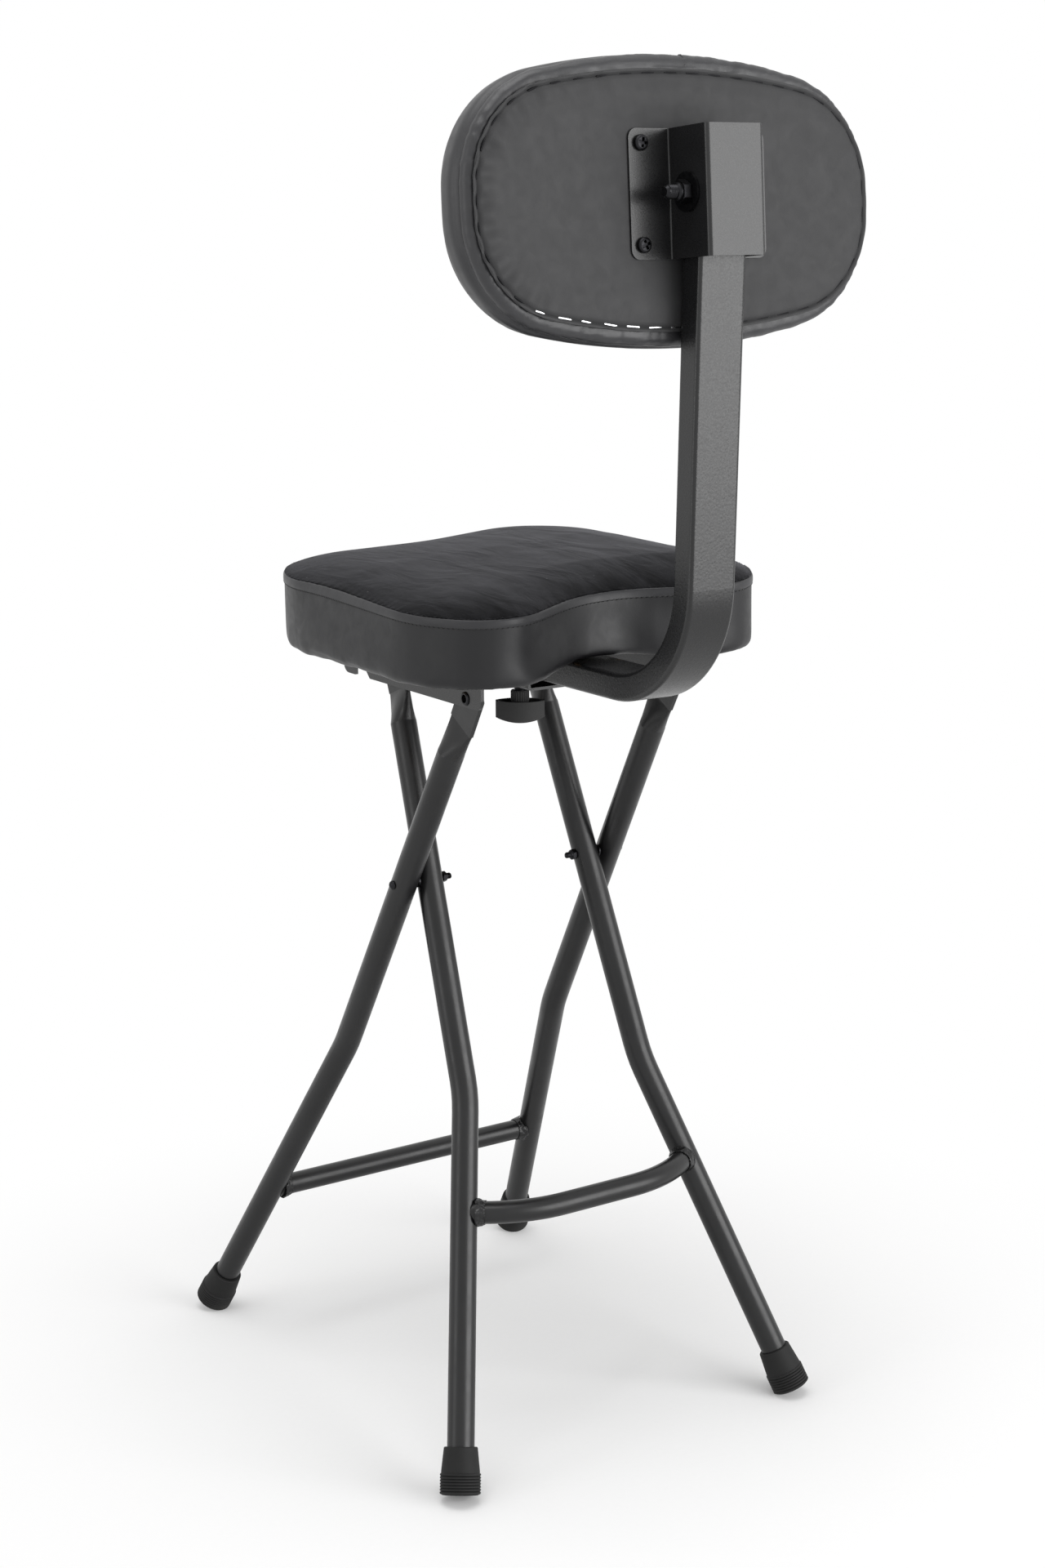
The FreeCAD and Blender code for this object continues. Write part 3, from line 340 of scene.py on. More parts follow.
@dataclass(frozen=True)
class CutVelvet(Finish):
    """Short-pile cut velvet: dark down the pile and silvery across it, with brushed streaks and lint."""

    deep: str = "#060607"
    brushed: str = "#1e1e20"
    lint: str = "#77777a"
    sheen: str = "#9a9a9f"
    # Coarser than real pile, so that it shows.
    pile_mm: float = 0.9
    pile_depth_mm: float = 0.35
    streak_mm: float = 15.0
    brush_mm: float = 26.0
    brush_depth_mm: float = 2.8
    lint_apart_mm: float = 17.0
    lint_size: float = 0.022

    def dress(self, tree: Tree, shader: Node, place: Socket) -> None:
        """Set the shader up.

        Args:
            tree: The material's node tree.
            shader: Its Principled shader.
            place: Object coordinates in metres.
        """
        combed = add_node(tree, "Mapping", {
            "Vector": place, "Scale": (1.0, 0.32, 1.0), "Rotation": (0.0, 0.0, 0.35)})
        streaks = add_node(tree, "TexNoise", {
            "Vector": combed, "Scale": per_mm(self.streak_mm), "Detail": 6.0, "Roughness": 0.6,
            "Distortion": 0.4})
        pile = add_node(tree, "TexNoise", {"Vector": place, "Scale": per_mm(self.pile_mm), "Detail": 4.0})
        lie = add_node(tree, "Math", {0: streaks, 1: pile, 2: 0.5}, operation="MULTIPLY_ADD")
        tone = add_node(tree, "ValToRGB", {"Fac": streaks})
        for stop, at, code in zip(tone.color_ramp.elements, (0.4, 0.66), (self.deep, self.brushed)):
            stop.position = at
            stop.color = linear(code)
        specks = add_node(tree, "TexVoronoi", {
            "Vector": place, "Scale": per_mm(self.lint_apart_mm), "Randomness": 1.0})
        near = add_node(tree, "Math", {0: specks, 1: self.lint_size}, operation="LESS_THAN")
        dusted = add_node(tree, "Mix", {"Factor": near, "A": tone, "B": linear(self.lint)}, data_type="RGBA")
        brush = add_node(tree, "Mapping", {
            "Vector": place, "Scale": (1.0, 0.4, 1.0), "Rotation": (0.0, 0.0, -0.9)})
        marks = add_node(tree, "TexNoise", {
            "Vector": brush, "Scale": per_mm(self.brush_mm), "Detail": 3.0, "Distortion": 0.8})
        leaning = add_node(tree, "Bump", {
            "Height": marks, "Strength": 0.6, "Distance": self.brush_depth_mm * MM})
        bump = add_node(tree, "Bump", {
            "Height": lie, "Strength": 0.7, "Distance": self.pile_depth_mm * MM, "Normal": leaning})
        connect(tree, shader, {"Base Color": dusted, "Roughness": 0.92, "Specular IOR Level": 0.1,
                               "Sheen Weight": 0.5, "Sheen Roughness": 0.36,
                               "Sheen Tint": linear(self.sheen), "Normal": bump})


@dataclass(frozen=True)
class BackedVinyl(Finish):
    """Embossed upholstery vinyl: satin and softly pebbled, paler in broad random patches and drier along its fine
    creases.
    """

    dark: str = "#121214"
    pale: str = "#1b1b1d"
    smooth: float = 0.4
    rough: float = 0.5
    pebble_mm: float = 1.3
    pebble_depth_mm: float = 0.03
    crease_mm: float = 9.0
    cloud_mm: float = 30.0
    shine: float = 0.36

    def dress(self, tree: Tree, shader: Node, place: Socket) -> None:
        """Set the shader up.

        Args:
            tree: The material's node tree.
            shader: Its Principled shader.
            place: Object coordinates in metres.
        """
        cloud = add_node(tree, "TexNoise", {"Vector": place, "Scale": per_mm(self.cloud_mm), "Detail": 5.0})
        tone = add_node(tree, "Mix", {
            "Factor": cloud, "A": linear(self.dark), "B": linear(self.pale)}, data_type="RGBA")
        pebbles = add_node(tree, "TexVoronoi", {
            "Vector": place, "Scale": per_mm(self.pebble_mm), "Randomness": 1.0})
        creases = add_node(tree, "TexNoise", {
            "Vector": place, "Scale": per_mm(self.crease_mm), "Detail": 4.0, "Distortion": 0.6})
        height = add_node(tree, "Math", {0: creases, 1: 0.8, 2: pebbles}, operation="MULTIPLY_ADD")
        bump = add_node(tree, "Bump", {
            "Height": height, "Strength": 0.5, "Distance": self.pebble_depth_mm * MM})
        gloss = add_node(tree, "MapRange", {
            "Value": creases, "From Min": NOISE_LOW, "From Max": NOISE_HIGH, "To Min": self.smooth,
            "To Max": self.rough})
        connect(tree, shader, {"Base Color": tone, "Specular IOR Level": self.shine, "Normal": bump,
                               "Roughness": gloss})


@dataclass(frozen=True)
class TwistedThread(Finish):
    """Twisted polyester sewing thread: dull black with a fine diagonal lay."""

    colour: str = "#0b0b0c"
    # Far coarser than a real thread's lay, so that it shows.
    lay_mm: float = 5.08
    lay_depth_mm: float = 0.08

    def dress(self, tree: Tree, shader: Node, place: Socket) -> None:
        """Set the shader up.

        Args:
            tree: The material's node tree.
            shader: Its Principled shader.
            place: Object coordinates in metres.
        """
        # A diagonal wave takes ten radians for each unit along each of the three axes.
        wave = 2 * math.pi / (10 * math.sqrt(3))
        lay = add_node(tree, "TexWave", {
            "Vector": place, "Scale": per_mm(self.lay_mm) * wave, "Distortion": 1.0},
            bands_direction="DIAGONAL")
        bump = add_node(tree, "Bump", {
            "Height": lay.outputs["Fac"], "Strength": 0.5, "Distance": self.lay_depth_mm * MM})
        connect(tree, shader, {"Base Color": linear(self.colour), "Roughness": 0.62, "Normal": bump})


@dataclass(frozen=True)
class RotaryPly(Finish):
    """Rotary-cut birch plywood, unsealed: broad wandering figure and fine pores."""

    early: str = "#b79a70"
    late: str = "#8d6d45"
    figure_mm: float = 9.0
    pore_depth_mm: float = 0.12

    def dress(self, tree: Tree, shader: Node, place: Socket) -> None:
        """Set the shader up.

        Args:
            tree: The material's node tree.
            shader: Its Principled shader.
            place: Object coordinates in metres.
        """
        lengthwise = add_node(tree, "Mapping", {"Vector": place, "Scale": (1.0, 0.12, 1.0)})
        figure = add_node(tree, "TexNoise", {
            "Vector": lengthwise, "Scale": per_mm(self.figure_mm), "Detail": 8.0, "Roughness": 0.6,
            "Distortion": 0.8})
        tone = add_node(tree, "Mix", {
            "Factor": figure, "A": linear(self.early), "B": linear(self.late)}, data_type="RGBA")
        bump = add_node(tree, "Bump", {
            "Height": figure, "Strength": 0.4, "Distance": self.pore_depth_mm * MM})
        connect(tree, shader, {"Base Color": tone, "Roughness": 0.7, "Normal": bump})


class Finishes(Enum):
    """The stool's finishes."""

    LEGS = BakedEnamel("baked_enamel_on_steel_tube")
    RUBBER = MouldedRubber("moulded_rubber")
    HARDWARE = PlatedSteel("black_zinc_plated_steel")
    BRACKETS = TexturedPowder("fine_powder_coat", grain_mm=1.2, grain_depth_mm=0.03, smooth=0.26, rough=0.34)
    POST = TexturedPowder("textured_powder_coat", dark="#0f0f10", pale="#171718", smooth=0.25, rough=0.36)
    PLASTIC = MouldedPlastic("moulded_plastic")
    PLY = RotaryPly("rotary_cut_plywood")
    VELVET = CutVelvet("cut_velvet")
    VINYL = BackedVinyl("embossed_vinyl")
    # Paler copy of the side's vinyl for the folded hem: a painted highlight along the fold.
    HEM = BackedVinyl("folded_vinyl_edge", dark="#252527", pale="#313133")
    # Paler copies of the seat side's vinyl for the backrest's cover and panel: painted light, the backrest's vinyl
    # drawn lighter as if more brightly lit.
    COVER = BackedVinyl("gathered_vinyl", dark="#2a2a2c", pale="#353537", smooth=0.36, rough=0.46, shine=0.45)
    PANEL = BackedVinyl("unpadded_vinyl_backing", dark="#2d2d2e", pale="#333334", smooth=0.56, rough=0.64,
                        pebble_depth_mm=0.02, shine=0.32)
    THREAD = TwistedThread("twisted_thread")
    STAPLES = PlatedSteel("black_staple_wire", dark="#0d0d0e", pale="#1c1c1d", smooth=0.3, rough=0.42)
    # Pale bright wire for a few staples on the lower edge: a painted highlight where they glint.
    GLINTING_STAPLES = PlatedSteel("staple_wire_painted_glint", dark="#b4b5b7", pale="#dcdddf", smooth=0.2, rough=0.32)


SLOT_FINISH: dict[str, Finishes] = {
    "leg_paint": Finishes.LEGS, "foot_rubber": Finishes.RUBBER, "black_hardware": Finishes.HARDWARE,
    "bracket_paint": Finishes.BRACKETS, "post_paint": Finishes.POST, "moulded_plastic": Finishes.PLASTIC,
    "plywood": Finishes.PLY, "seat_velvet": Finishes.VELVET, "back_vinyl": Finishes.VINYL,
}


# Bench tools


def joint_place(name: str) -> list[float]:
    """A point on a joint's axis, in the stool's frame."""
    return next(j["pos_m"] for j in frame["joints"] if j["name"] == name)


@contextmanager
def editing() -> Iterator[None]:
    """Go into edit mode for a while, and then back to object mode."""
    bpy.ops.object.mode_set(mode="EDIT")
    yield
    bpy.ops.object.mode_set(mode="OBJECT")


def select_only(piece: Obj) -> None:
    """Leave one object selected and active, in object mode.

    Args:
        piece: The object.
    """
    if bpy.context.mode != "OBJECT":
        bpy.ops.object.mode_set(mode="OBJECT")
    for other in bpy.context.selected_objects:
        other.select_set(False)
    piece.select_set(True)
    bpy.context.view_layer.objects.active = piece


def clear_selection() -> None:
    """Leave nothing selected."""
    for other in bpy.context.selected_objects:
        other.select_set(False)


def positions(piece: Obj) -> np.ndarray:
    """Read a mesh's vertices.

    Args:
        piece: The piece.

    Returns:
        Its vertices as an array of points, in metres.
    """
    flat = np.empty(len(piece.data.vertices) * 3)
    piece.data.vertices.foreach_get("co", flat)
    return flat.reshape(-1, 3)


def put(piece: Obj, points: np.ndarray) -> None:
    """Move a mesh's vertices to these points."""
    piece.data.vertices.foreach_set("co", np.ascontiguousarray(points, dtype=np.float32).ravel())
    piece.data.update()


def vertex_normals(piece: Obj) -> np.ndarray:
    """Read a mesh's vertex normals.

    Args:
        piece: The piece.

    Returns:
        One unit vector per vertex.
    """
    flat = np.empty(len(piece.data.vertices) * 3)
    piece.data.vertices.foreach_get("normal", flat)
    return flat.reshape(-1, 3)


def search_tree(mesh: bpy.types.Mesh, place: Matrix) -> BVHTree:
    """Prepare a mesh for finding its nearest face, or the first face along a line.

    Args:
        mesh: The mesh.
        place: What its vertices are moved by.

    Returns:
        The tree.
    """
    corners = [place @ v.co for v in mesh.vertices]
    return BVHTree.FromPolygons(corners, [tuple(p.vertices) for p in mesh.polygons])


def chosen(piece: Obj, kind: str, flags: list[bool] | np.ndarray) -> None:
    """Select some of a mesh's vertices, edges or faces, ready for edit mode.

    Args:
        piece: The piece, active and in object mode.
        kind: VERT, EDGE or FACE.
        flags: Which of them are selected.
    """
    with editing():
        bpy.ops.mesh.select_mode(type=kind)
        bpy.ops.mesh.select_all(action="DESELECT")
    elements = {"VERT": piece.data.vertices, "EDGE": piece.data.edges, "FACE": piece.data.polygons}[kind]
    elements.foreach_set("select", np.array(flags, dtype=bool))


def copied(node: str, name: str, place: Matrix) -> Obj:
    """Copy a CAD node's mesh to a new piece on the bench, its doubles merged.

    Args:
        node: The CAD node.
        name: The new piece's name.
        place: Where the bench stands in the stool's frame.

    Returns:
        The new piece, in bench coordinates.
    """
    piece = bpy.data.objects.new(name, frame["nodes"][node].data.copy())
    bpy.context.scene.collection.objects.link(piece)
    piece.data.transform(place.inverted())
    piece.data.materials.clear()
    select_only(piece)
    with editing():
        bpy.ops.mesh.select_all(action="SELECT")
        bpy.ops.mesh.remove_doubles(threshold=0.01 * MM)
    return piece


def tidied(piece: Obj) -> Obj:
    """Merge a piece's doubles and turn its faces outwards.

    Args:
        piece: The piece.

    Returns:
        The same piece.
    """
    select_only(piece)
    with editing():
        bpy.ops.mesh.select_all(action="SELECT")
        bpy.ops.mesh.remove_doubles(threshold=0.005 * MM)
        bpy.ops.mesh.normals_make_consistent(inside=False)
    return piece


def cut_at(piece: Obj, height: float, keep_above: bool) -> None:
    """Cut a closed piece level at a bench height, keep one part and close it.

    Args:
        piece: The piece.
        height: The cut's height in metres.
        keep_above: Whether the upper part stays.
    """
    select_only(piece)
    with editing():
        bpy.ops.mesh.select_all(action="SELECT")
        bpy.ops.mesh.bisect(plane_co=(0, 0, height), plane_no=(0, 0, 1), use_fill=True,
                            clear_inner=keep_above, clear_outer=not keep_above)


def section(piece: Obj, height: float, count: int, smoothing: int = 2) -> np.ndarray:
    """Outline where a piece crosses a bench height, as evenly spaced points, counter-clockwise.

    Args:
        piece: The closed piece, whose whole outline can be seen from its middle.
        height: The height in metres.
        count: How many points to give.
        smoothing: How many times neighbouring points are averaged.

    Returns:
        The points, one row each.
    """
    hull = search_tree(piece.data, Matrix())
    points = positions(piece)
    centre = (points.min(axis=0) + points.max(axis=0)) / 2
    middle = Vector((centre[0], centre[1], height))
    rays_per_point = 4
    hits = []
    for turn in np.linspace(0, 2 * math.pi, count * rays_per_point, endpoint=False):
        out = Vector((math.cos(turn), math.sin(turn), 0))
        hits.append(hull.ray_cast(middle + out, -out)[0])
    loop = np.array(hits)
    loop = np.roll(loop, -int(np.argmin(loop[:, 1])), axis=0)
    for step in range(smoothing + 1):
        loop = even(loop, count)
        if step < smoothing:
            loop = (np.roll(loop, 1, axis=0) + 2 * loop + np.roll(loop, -1, axis=0)) / 4
    return loop


def even(loop: np.ndarray, count: int) -> np.ndarray:
    """Space a closed loop's points evenly.

    Args:
        loop: The points.
        count: How many to give.

    Returns:
        The new points.
    """
    closed = np.vstack([loop, loop[:1]])
    along = np.concatenate([[0], np.cumsum(np.linalg.norm(np.diff(closed, axis=0), axis=1))])
    at = np.linspace(0, along[-1], count, endpoint=False)
    return np.column_stack([np.interp(at, along, closed[:, k]) for k in range(3)])


def outward(loop: np.ndarray) -> np.ndarray:
    """Level outward normals of a counter-clockwise loop.

    Args:
        loop: The points.

    Returns:
        One unit vector per point.
    """
    ahead = np.roll(loop, -1, axis=0) - np.roll(loop, 1, axis=0)
    sideways = np.column_stack([ahead[:, 1], -ahead[:, 0], np.zeros(len(loop))])
    return sideways / np.linalg.norm(sideways, axis=1, keepdims=True)


def length_of(loop: np.ndarray) -> float:
    """Length of a closed loop, in metres."""
    return float(np.linalg.norm(np.roll(loop, -1, axis=0) - loop, axis=1).sum())


def rope_round(loop: np.ndarray, profile: list[tuple[float, float]], name: str,
               lower: np.ndarray | None = None) -> Obj:
    """Run a small closed profile round a loop, as piping or a folded hem is.

    Args:
        loop: Points of the loop, no more than a ring primitive can have (RING_POINTS).
        profile: Outward and upward offsets in millimetres, counter-clockwise.
        name: The new piece's name.
        lower: A second loop further down, which the profile's lower part follows.

    Returns:
        The piece: a ring primitive drawn out along the loop.
    """
    clear_selection()
    bpy.ops.mesh.primitive_torus_add(major_segments=len(loop), minor_segments=len(profile), major_radius=0.1,
                                     minor_radius=0.01)
    piece = bpy.context.object
    piece.name = name
    out = outward(loop)
    lean = np.zeros_like(loop) if lower is None else (lower - loop) * np.array([1, 1, 0])
    fall = 1.0 if lower is None else (loop[0, 2] - lower[0, 2]) / MM
    rows = []
    for aside, above in profile:
        follow = min(max(-above / fall, 0), 1)
        rows.append(loop + out * (aside * MM) + np.array([0, 0, above * MM]) + lean * follow)
    put(piece, np.stack(rows, axis=1).reshape(-1, 3))
    return tidied(piece)


def strung(bead: Obj, loop: np.ndarray, count: int) -> Obj:
    """Repeat a small piece along a closed loop.

    Args:
        bead: The piece, lying along +X at the origin.
        loop: Points of the loop.
        count: How many copies.

    Returns:
        The same piece, now holding all the copies.
    """
    line = bpy.data.curves.new("stringing_line", "CURVE")
    line.dimensions = "3D"
    line.twist_mode = "Z_UP"
    spline = line.splines.new("POLY")
    spline.points.add(len(loop) - 1)
    spline.points.foreach_set("co", np.column_stack([loop, np.ones(len(loop))]).ravel())
    spline.use_cyclic_u = True
    path = bpy.data.objects.new("stringing_line", line)
    bpy.context.scene.collection.objects.link(path)
    row = bead.modifiers.new("row", "ARRAY")
    row.count = count
    row.use_relative_offset = False
    row.use_constant_offset = True
    row.constant_offset_displace = (length_of(loop) / count, 0, 0)
    bend = bead.modifiers.new("bend", "CURVE")
    bend.object = path
    bend.deform_axis = "POS_X"
    select_only(bead)
    bpy.ops.object.modifier_apply(modifier="row")
    bpy.ops.object.modifier_apply(modifier="bend")
    bpy.data.objects.remove(path)
    bpy.data.curves.remove(line)
    return bead


def stitch(length: float, width: float, name: str) -> Obj:
    """One sewn stitch along +X: plump in the middle, drawn into the cloth at its ends.

    Args:
        length: Its length in metres.
        width: The thread's width in metres.
        name: The new piece's name.

    Returns:
        The piece.
    """
    middle_share = 0.55
    end_share = 0.225
    sunk = 0.55 * width
    taper = 0.45
    clear_selection()
    bpy.ops.mesh.primitive_cylinder_add(vertices=6, radius=width / 2, depth=length * middle_share,
                                        rotation=(0, math.pi / 2, 0))
    piece = bpy.context.object
    piece.name = name
    bpy.ops.object.transform_apply(location=True, rotation=True, scale=True)
    for side in (-1, 1):
        chosen(piece, "FACE", [face.normal.x * side > 0.9 for face in piece.data.polygons])
        with editing():
            bpy.ops.mesh.extrude_region_move(
                TRANSFORM_OT_translate={"value": (side * length * end_share, 0, -sunk)})
            bpy.ops.transform.resize(value=(1, taper, taper))
    return tidied(piece)


def finished(piece: Obj, finish: Finishes, body: str, place: Matrix, angle: float) -> None:
    """Put a piece in its place, dress it and let it ride on its body.

    Args:
        piece: The piece, in bench coordinates.
        finish: Its finish.
        body: The CAD body that carries it.
        place: Where the bench stands in the stool's frame.
        angle: Edges sharper than this many degrees stay sharp.
    """
    piece.data.transform(place)
    piece.data.materials.clear()
    piece.data.materials.append(finish.value.material())
    select_only(piece)
    bpy.ops.object.shade_smooth_by_angle(angle=math.radians(angle))
    piece.select_set(False)
    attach(piece, body)
    LOG.info("%s: %d faces on %s", piece.name, len(piece.data.polygons), body)


# Cushions


@dataclass
class Cushion:
    """A foam pad on a board under a sewn cover. The bench has the pad's open back downwards."""

    pad: str
    board: str
    body: str
    place: Matrix
    voxel: float = 4.6 * MM
    drawn_in: float = 3.0 * MM
    pressure: float = 4.0
    stiffness: float = 18.0
    reach: float = 9.0 * MM
    held_within: float = 3.6 * MM
    proud: float = 1.0 * MM
    cloth_frames: int = 20
    stitch_share: float = 0.86

    def swollen(self, name: str) -> Obj:
        """Blow the pad's cover up over its foam, held where it is fixed to the board.

        Args:
            name: The new piece's name.

        Returns:
            The pad in bench coordinates, denser than the CAD pad and softly swollen.
        """
        piece = copied(self.pad, name, self.place)
        outline = positions(piece)
        low, high = outline.min(axis=0), outline.max(axis=0)
        piece.data.remesh_voxel_size = self.voxel
        bpy.ops.object.voxel_remesh()
        held = self.held(piece)
        start = positions(piece) - vertex_normals(piece) * (self.drawn_in * (1 - held))[:, None]
        put(piece, start)
        grown = self.inflated(piece, held) - start
        out = (start - (low + high) / 2) * np.array([1, 1, 0])
        out /= np.maximum(np.linalg.norm(out, axis=1, keepdims=True), 1e-6)
        grown -= out * np.minimum((grown * out).sum(axis=1, keepdims=True), 0)
        far = np.linalg.norm(grown, axis=1, keepdims=True)
        LOG.info("%s swells by up to %.1f mm", name, far.max() / MM)
        grown *= self.reach * np.tanh(far / self.reach) / np.maximum(far, 1e-9)
        put(piece, start + self.evened(piece, grown, held))
        piece.vertex_groups.clear()
        finer = piece.modifiers.new("finer", "SUBSURF")
        finer.levels = finer.render_levels = 1
        select_only(piece)
        bpy.ops.object.modifier_apply(modifier="finer")
        points = positions(piece)
        size = points.max(axis=0) - points.min(axis=0)
        middle = (low + high) / 2
        for k in (0, 1):
            grow = (high[k] - low[k] + 2 * self.proud) / size[k]
            points[:, k] = middle[k] + (points[:, k] - (points[:, k].max() + points[:, k].min()) / 2) * grow
        put(piece, points)
        return piece

    def held(self, piece: Obj) -> np.ndarray:
        """How firmly each point of the pad is held by the board: 1 on it, 0 away from it.

        Args:
            piece: The pad in bench coordinates.

        Returns:
            One weight per vertex.
        """
        hull = search_tree(frame["nodes"][self.board].data, self.place.inverted())
        near = np.array([hull.find_nearest(v.co)[3] for v in piece.data.vertices])
        return np.clip((self.held_within + self.voxel - near) / self.voxel, 0, 1)

    def inflated(self, piece: Obj, held: np.ndarray) -> np.ndarray:
        """Run the cloth under pressure.

        Args:
            piece: The pad in bench coordinates.
            held: Weight of each vertex on the board.

        Returns:
            Where the vertices end up.
        """
        group = piece.vertex_groups.new(name="held")
        for i, weight in enumerate(held):
            group.add([i], float(weight), "REPLACE")
        cover = piece.modifiers.new("cover", "CLOTH")
        cloth = cover.settings
        cloth.quality = 6
        cloth.mass = 0.3
        cloth.tension_stiffness = cloth.compression_stiffness = self.stiffness
        cloth.shear_stiffness = self.stiffness * 0.4
        cloth.bending_stiffness = 0.8
        cloth.use_pressure = True
        cloth.uniform_pressure_force = self.pressure
        cloth.vertex_group_mass = "held"
        cloth.effector_weights.gravity = 0
        cover.collision_settings.use_collision = False
        cover.point_cache.frame_start, cover.point_cache.frame_end = 1, self.cloth_frames
        scene = bpy.context.scene
        for step in range(1, self.cloth_frames + 1):
            scene.frame_set(step)
        shown = piece.evaluated_get(bpy.context.evaluated_depsgraph_get())
        flat = np.empty(len(piece.data.vertices) * 3)
        shown.data.vertices.foreach_get("co", flat)
        piece.modifiers.remove(cover)
        scene.frame_set(1)
        return flat.reshape(-1, 3)

    def evened(self, piece: Obj, moves: np.ndarray, held: np.ndarray, rounds: int = 10) -> np.ndarray:
        """Spread the cover's movement over neighbouring points, as foam does.

        Args:
            piece: The pad.
            moves: How far each vertex moved.
            held: Weight of each vertex on the board.
            rounds: How many times neighbours are averaged.

        Returns:
            The evened movement.
        """
        ends = np.empty(len(piece.data.edges) * 2, dtype=np.int64)
        piece.data.edges.foreach_get("vertices", ends)
        a, b = ends.reshape(-1, 2).T
        count = np.bincount(ends, minlength=len(moves))[:, None]
        for _ in range(rounds):
            total = np.zeros_like(moves)
            np.add.at(total, a, moves[b])
            np.add.at(total, b, moves[a])
            moves = 0.4 * moves + 0.6 * total / np.maximum(count, 1)
        return moves * (1 - held)[:, None]

    def row_of_stitches(self, loop: np.ndarray, pitch: float, width: float, name: str) -> Obj:
        """Sew a row of stitches along a loop.

        Args:
            loop: Points of the row.
            pitch: Distance between needle holes in metres.
            width: The thread's width in metres.
            name: The new piece's name.

        Returns:
            The piece, in bench coordinates.
        """
        count = round(length_of(loop) / pitch)
        return strung(stitch(pitch * self.stitch_share, width, name), loop, count)


@dataclass
class SeatCushion(Cushion):
    """Seat: velvet top sewn into a vinyl side with a folded and topstitched hem."""

    pad: str = "seat_pad"
    board: str = "seat_board"
    body: str = "seat"
    place: Matrix = field(default_factory=Matrix)
    proud: float = 0.0
    seam_below_top: float = 13.0 * MM
    seam_allowance: float = 1.0 * MM
    hem_below_seam: float = 0.4 * MM
    # The next three are in millimetres, as profiles are.
    hem_height: float = 4.0
    hem_proud: float = 0.8
    stitch_below_hem: float = 0.5
    stitch_pitch: float = 3.6 * MM
    stitch_proud: float = 0.4 * MM
    thread: float = 1.0 * MM
    edge_points: int = 300
    roll_width: float = 50.0 * MM
    roll_height: float = 8.5 * MM
    roundness: float = 0.55
    flat_power: float = 2.5
    crown: float = 1.5 * MM
    crown_width: float = 100.0 * MM
    lump: float = 0.45 * MM
    lumps_per_metre: float = 19.0
    fullness: float = 2.5 * MM
    pile_left: float = 0.022
    pile_back: float = 0.018
    aside: tuple[float, float] = (-2.2 * MM, 1.2 * MM)
    lift: float = 5.2 * MM
    lean_left: float = 0.044
    lean_back: float = 0.031
    level_front: float = 30.0 * MM
    hang: float = 5.2 * MM
    hang_left: float = 0.033
    least_cover: float = 2.0 * MM
    post_room: tuple[float, float] = (20.0 * MM, 60.0 * MM)
    post_reach: float = 50.0 * MM
    ripple: float = 0.8 * MM
    ripples_per_metre: tuple[float, float, float] = (60.0, 60.0, 15.0)
    bulge: float = 0.25 * MM
    bulges_per_metre: tuple[float, float, float] = (16.0, 16.0, 22.0)
    bulges_from: tuple[float, float, float] = (7.0, 0.0, 0.0)

    def build(self) -> None:
        """Make the velvet top, the side, the hem and its stitches, and dress them."""
        low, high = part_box(self.pad)
        seam = high.z - self.seam_below_top
        top = self.swollen("seat_velvet_top")
        select_only(top)
        bpy.ops.object.duplicate()
        side = bpy.context.object
        side.name = "seat_vinyl_side"
        cut_at(top, seam - self.seam_allowance, True)
        cut_at(side, seam, False)
        self.tuck(top, seam)
        self.wrinkle(side, seam)
        loop = section(side, seam - self.hem_below_seam, RING_POINTS)
        lower = section(side, seam - (self.hem_height + self.stitch_below_hem) * MM, RING_POINTS)
        hem = self.hem(loop, lower)
        row = lower + outward(lower) * self.stitch_proud
        thread = self.row_of_stitches(row, self.stitch_pitch, self.thread, "seat_topstitch")
        for piece in (top, side, hem, thread):
            self.settle(piece, low, seam)
        finished(tidied(top), Finishes.VELVET, self.body, self.place, 60)
        finished(tidied(side), Finishes.VINYL, self.body, self.place, 60)
        # The hem takes the paler vinyl: a painted highlight along the fold.
        finished(hem, Finishes.HEM, self.body, self.place, 60)
        finished(thread, Finishes.THREAD, self.body, self.place, 60)
        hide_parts(self.pad)

    def tuck(self, top: Obj, seam: float) -> None:
        """Roll the velvet up from the seam, crown it over the foam and leave it a little lumpy.

        Args:
            top: The velvet top.
            seam: Height of the seam.
        """
        points = positions(top)
        edge = section(top, seam, self.edge_points)
        gap = np.array([np.hypot(edge[:, 0] - p[0], edge[:, 1] - p[1]).min() for p in points])
        up = np.clip(gap / self.roll_width, 0, 1)
        round_part = np.sqrt(np.clip(1 - (1 - up) ** 2, 0, 1))
        flat_part = 1 - (1 - up) ** self.flat_power
        swell = self.roundness * round_part + (1 - self.roundness) * flat_part
        broad = np.clip(gap / self.crown_width, 0, 1)
        lumps = np.array([noise.noise(Vector(p) * self.lumps_per_metre) for p in points])
        depth = points[:, 1] - joint_place("leg_fold")[1]
        fuller = self.fullness - self.pile_left * points[:, 0] + self.pile_back * depth
        height = self.roll_height * swell + self.crown * broad + fuller * up
        upper = points[:, 2] > seam - 0.3 * self.seam_allowance
        points[upper, 2] = seam + (height + lumps * self.lump * up)[upper]
        put(top, points)

    def wrinkle(self, side: Obj, seam: float) -> None:
        """Pull soft ripples into the vinyl, deepest at its lower edge.

        Args:
            side: The vinyl side.
            seam: Height of the seam.
        """
        points = positions(side)
        low = points[:, 2].min()
        depth = np.clip((seam - points[:, 2]) / (seam - low), 0, 1)
        waves = np.array([noise.noise(Vector(p)) for p in points * self.ripples_per_metre])
        bulges = points * self.bulges_per_metre + self.bulges_from
        broad = np.array([noise.noise(Vector(p)) for p in bulges])
        shift = waves * depth ** 4 * self.ripple + broad * self.bulge * np.clip(depth * 5, 0, 1)
        put(side, points + vertex_normals(side) * shift[:, None])

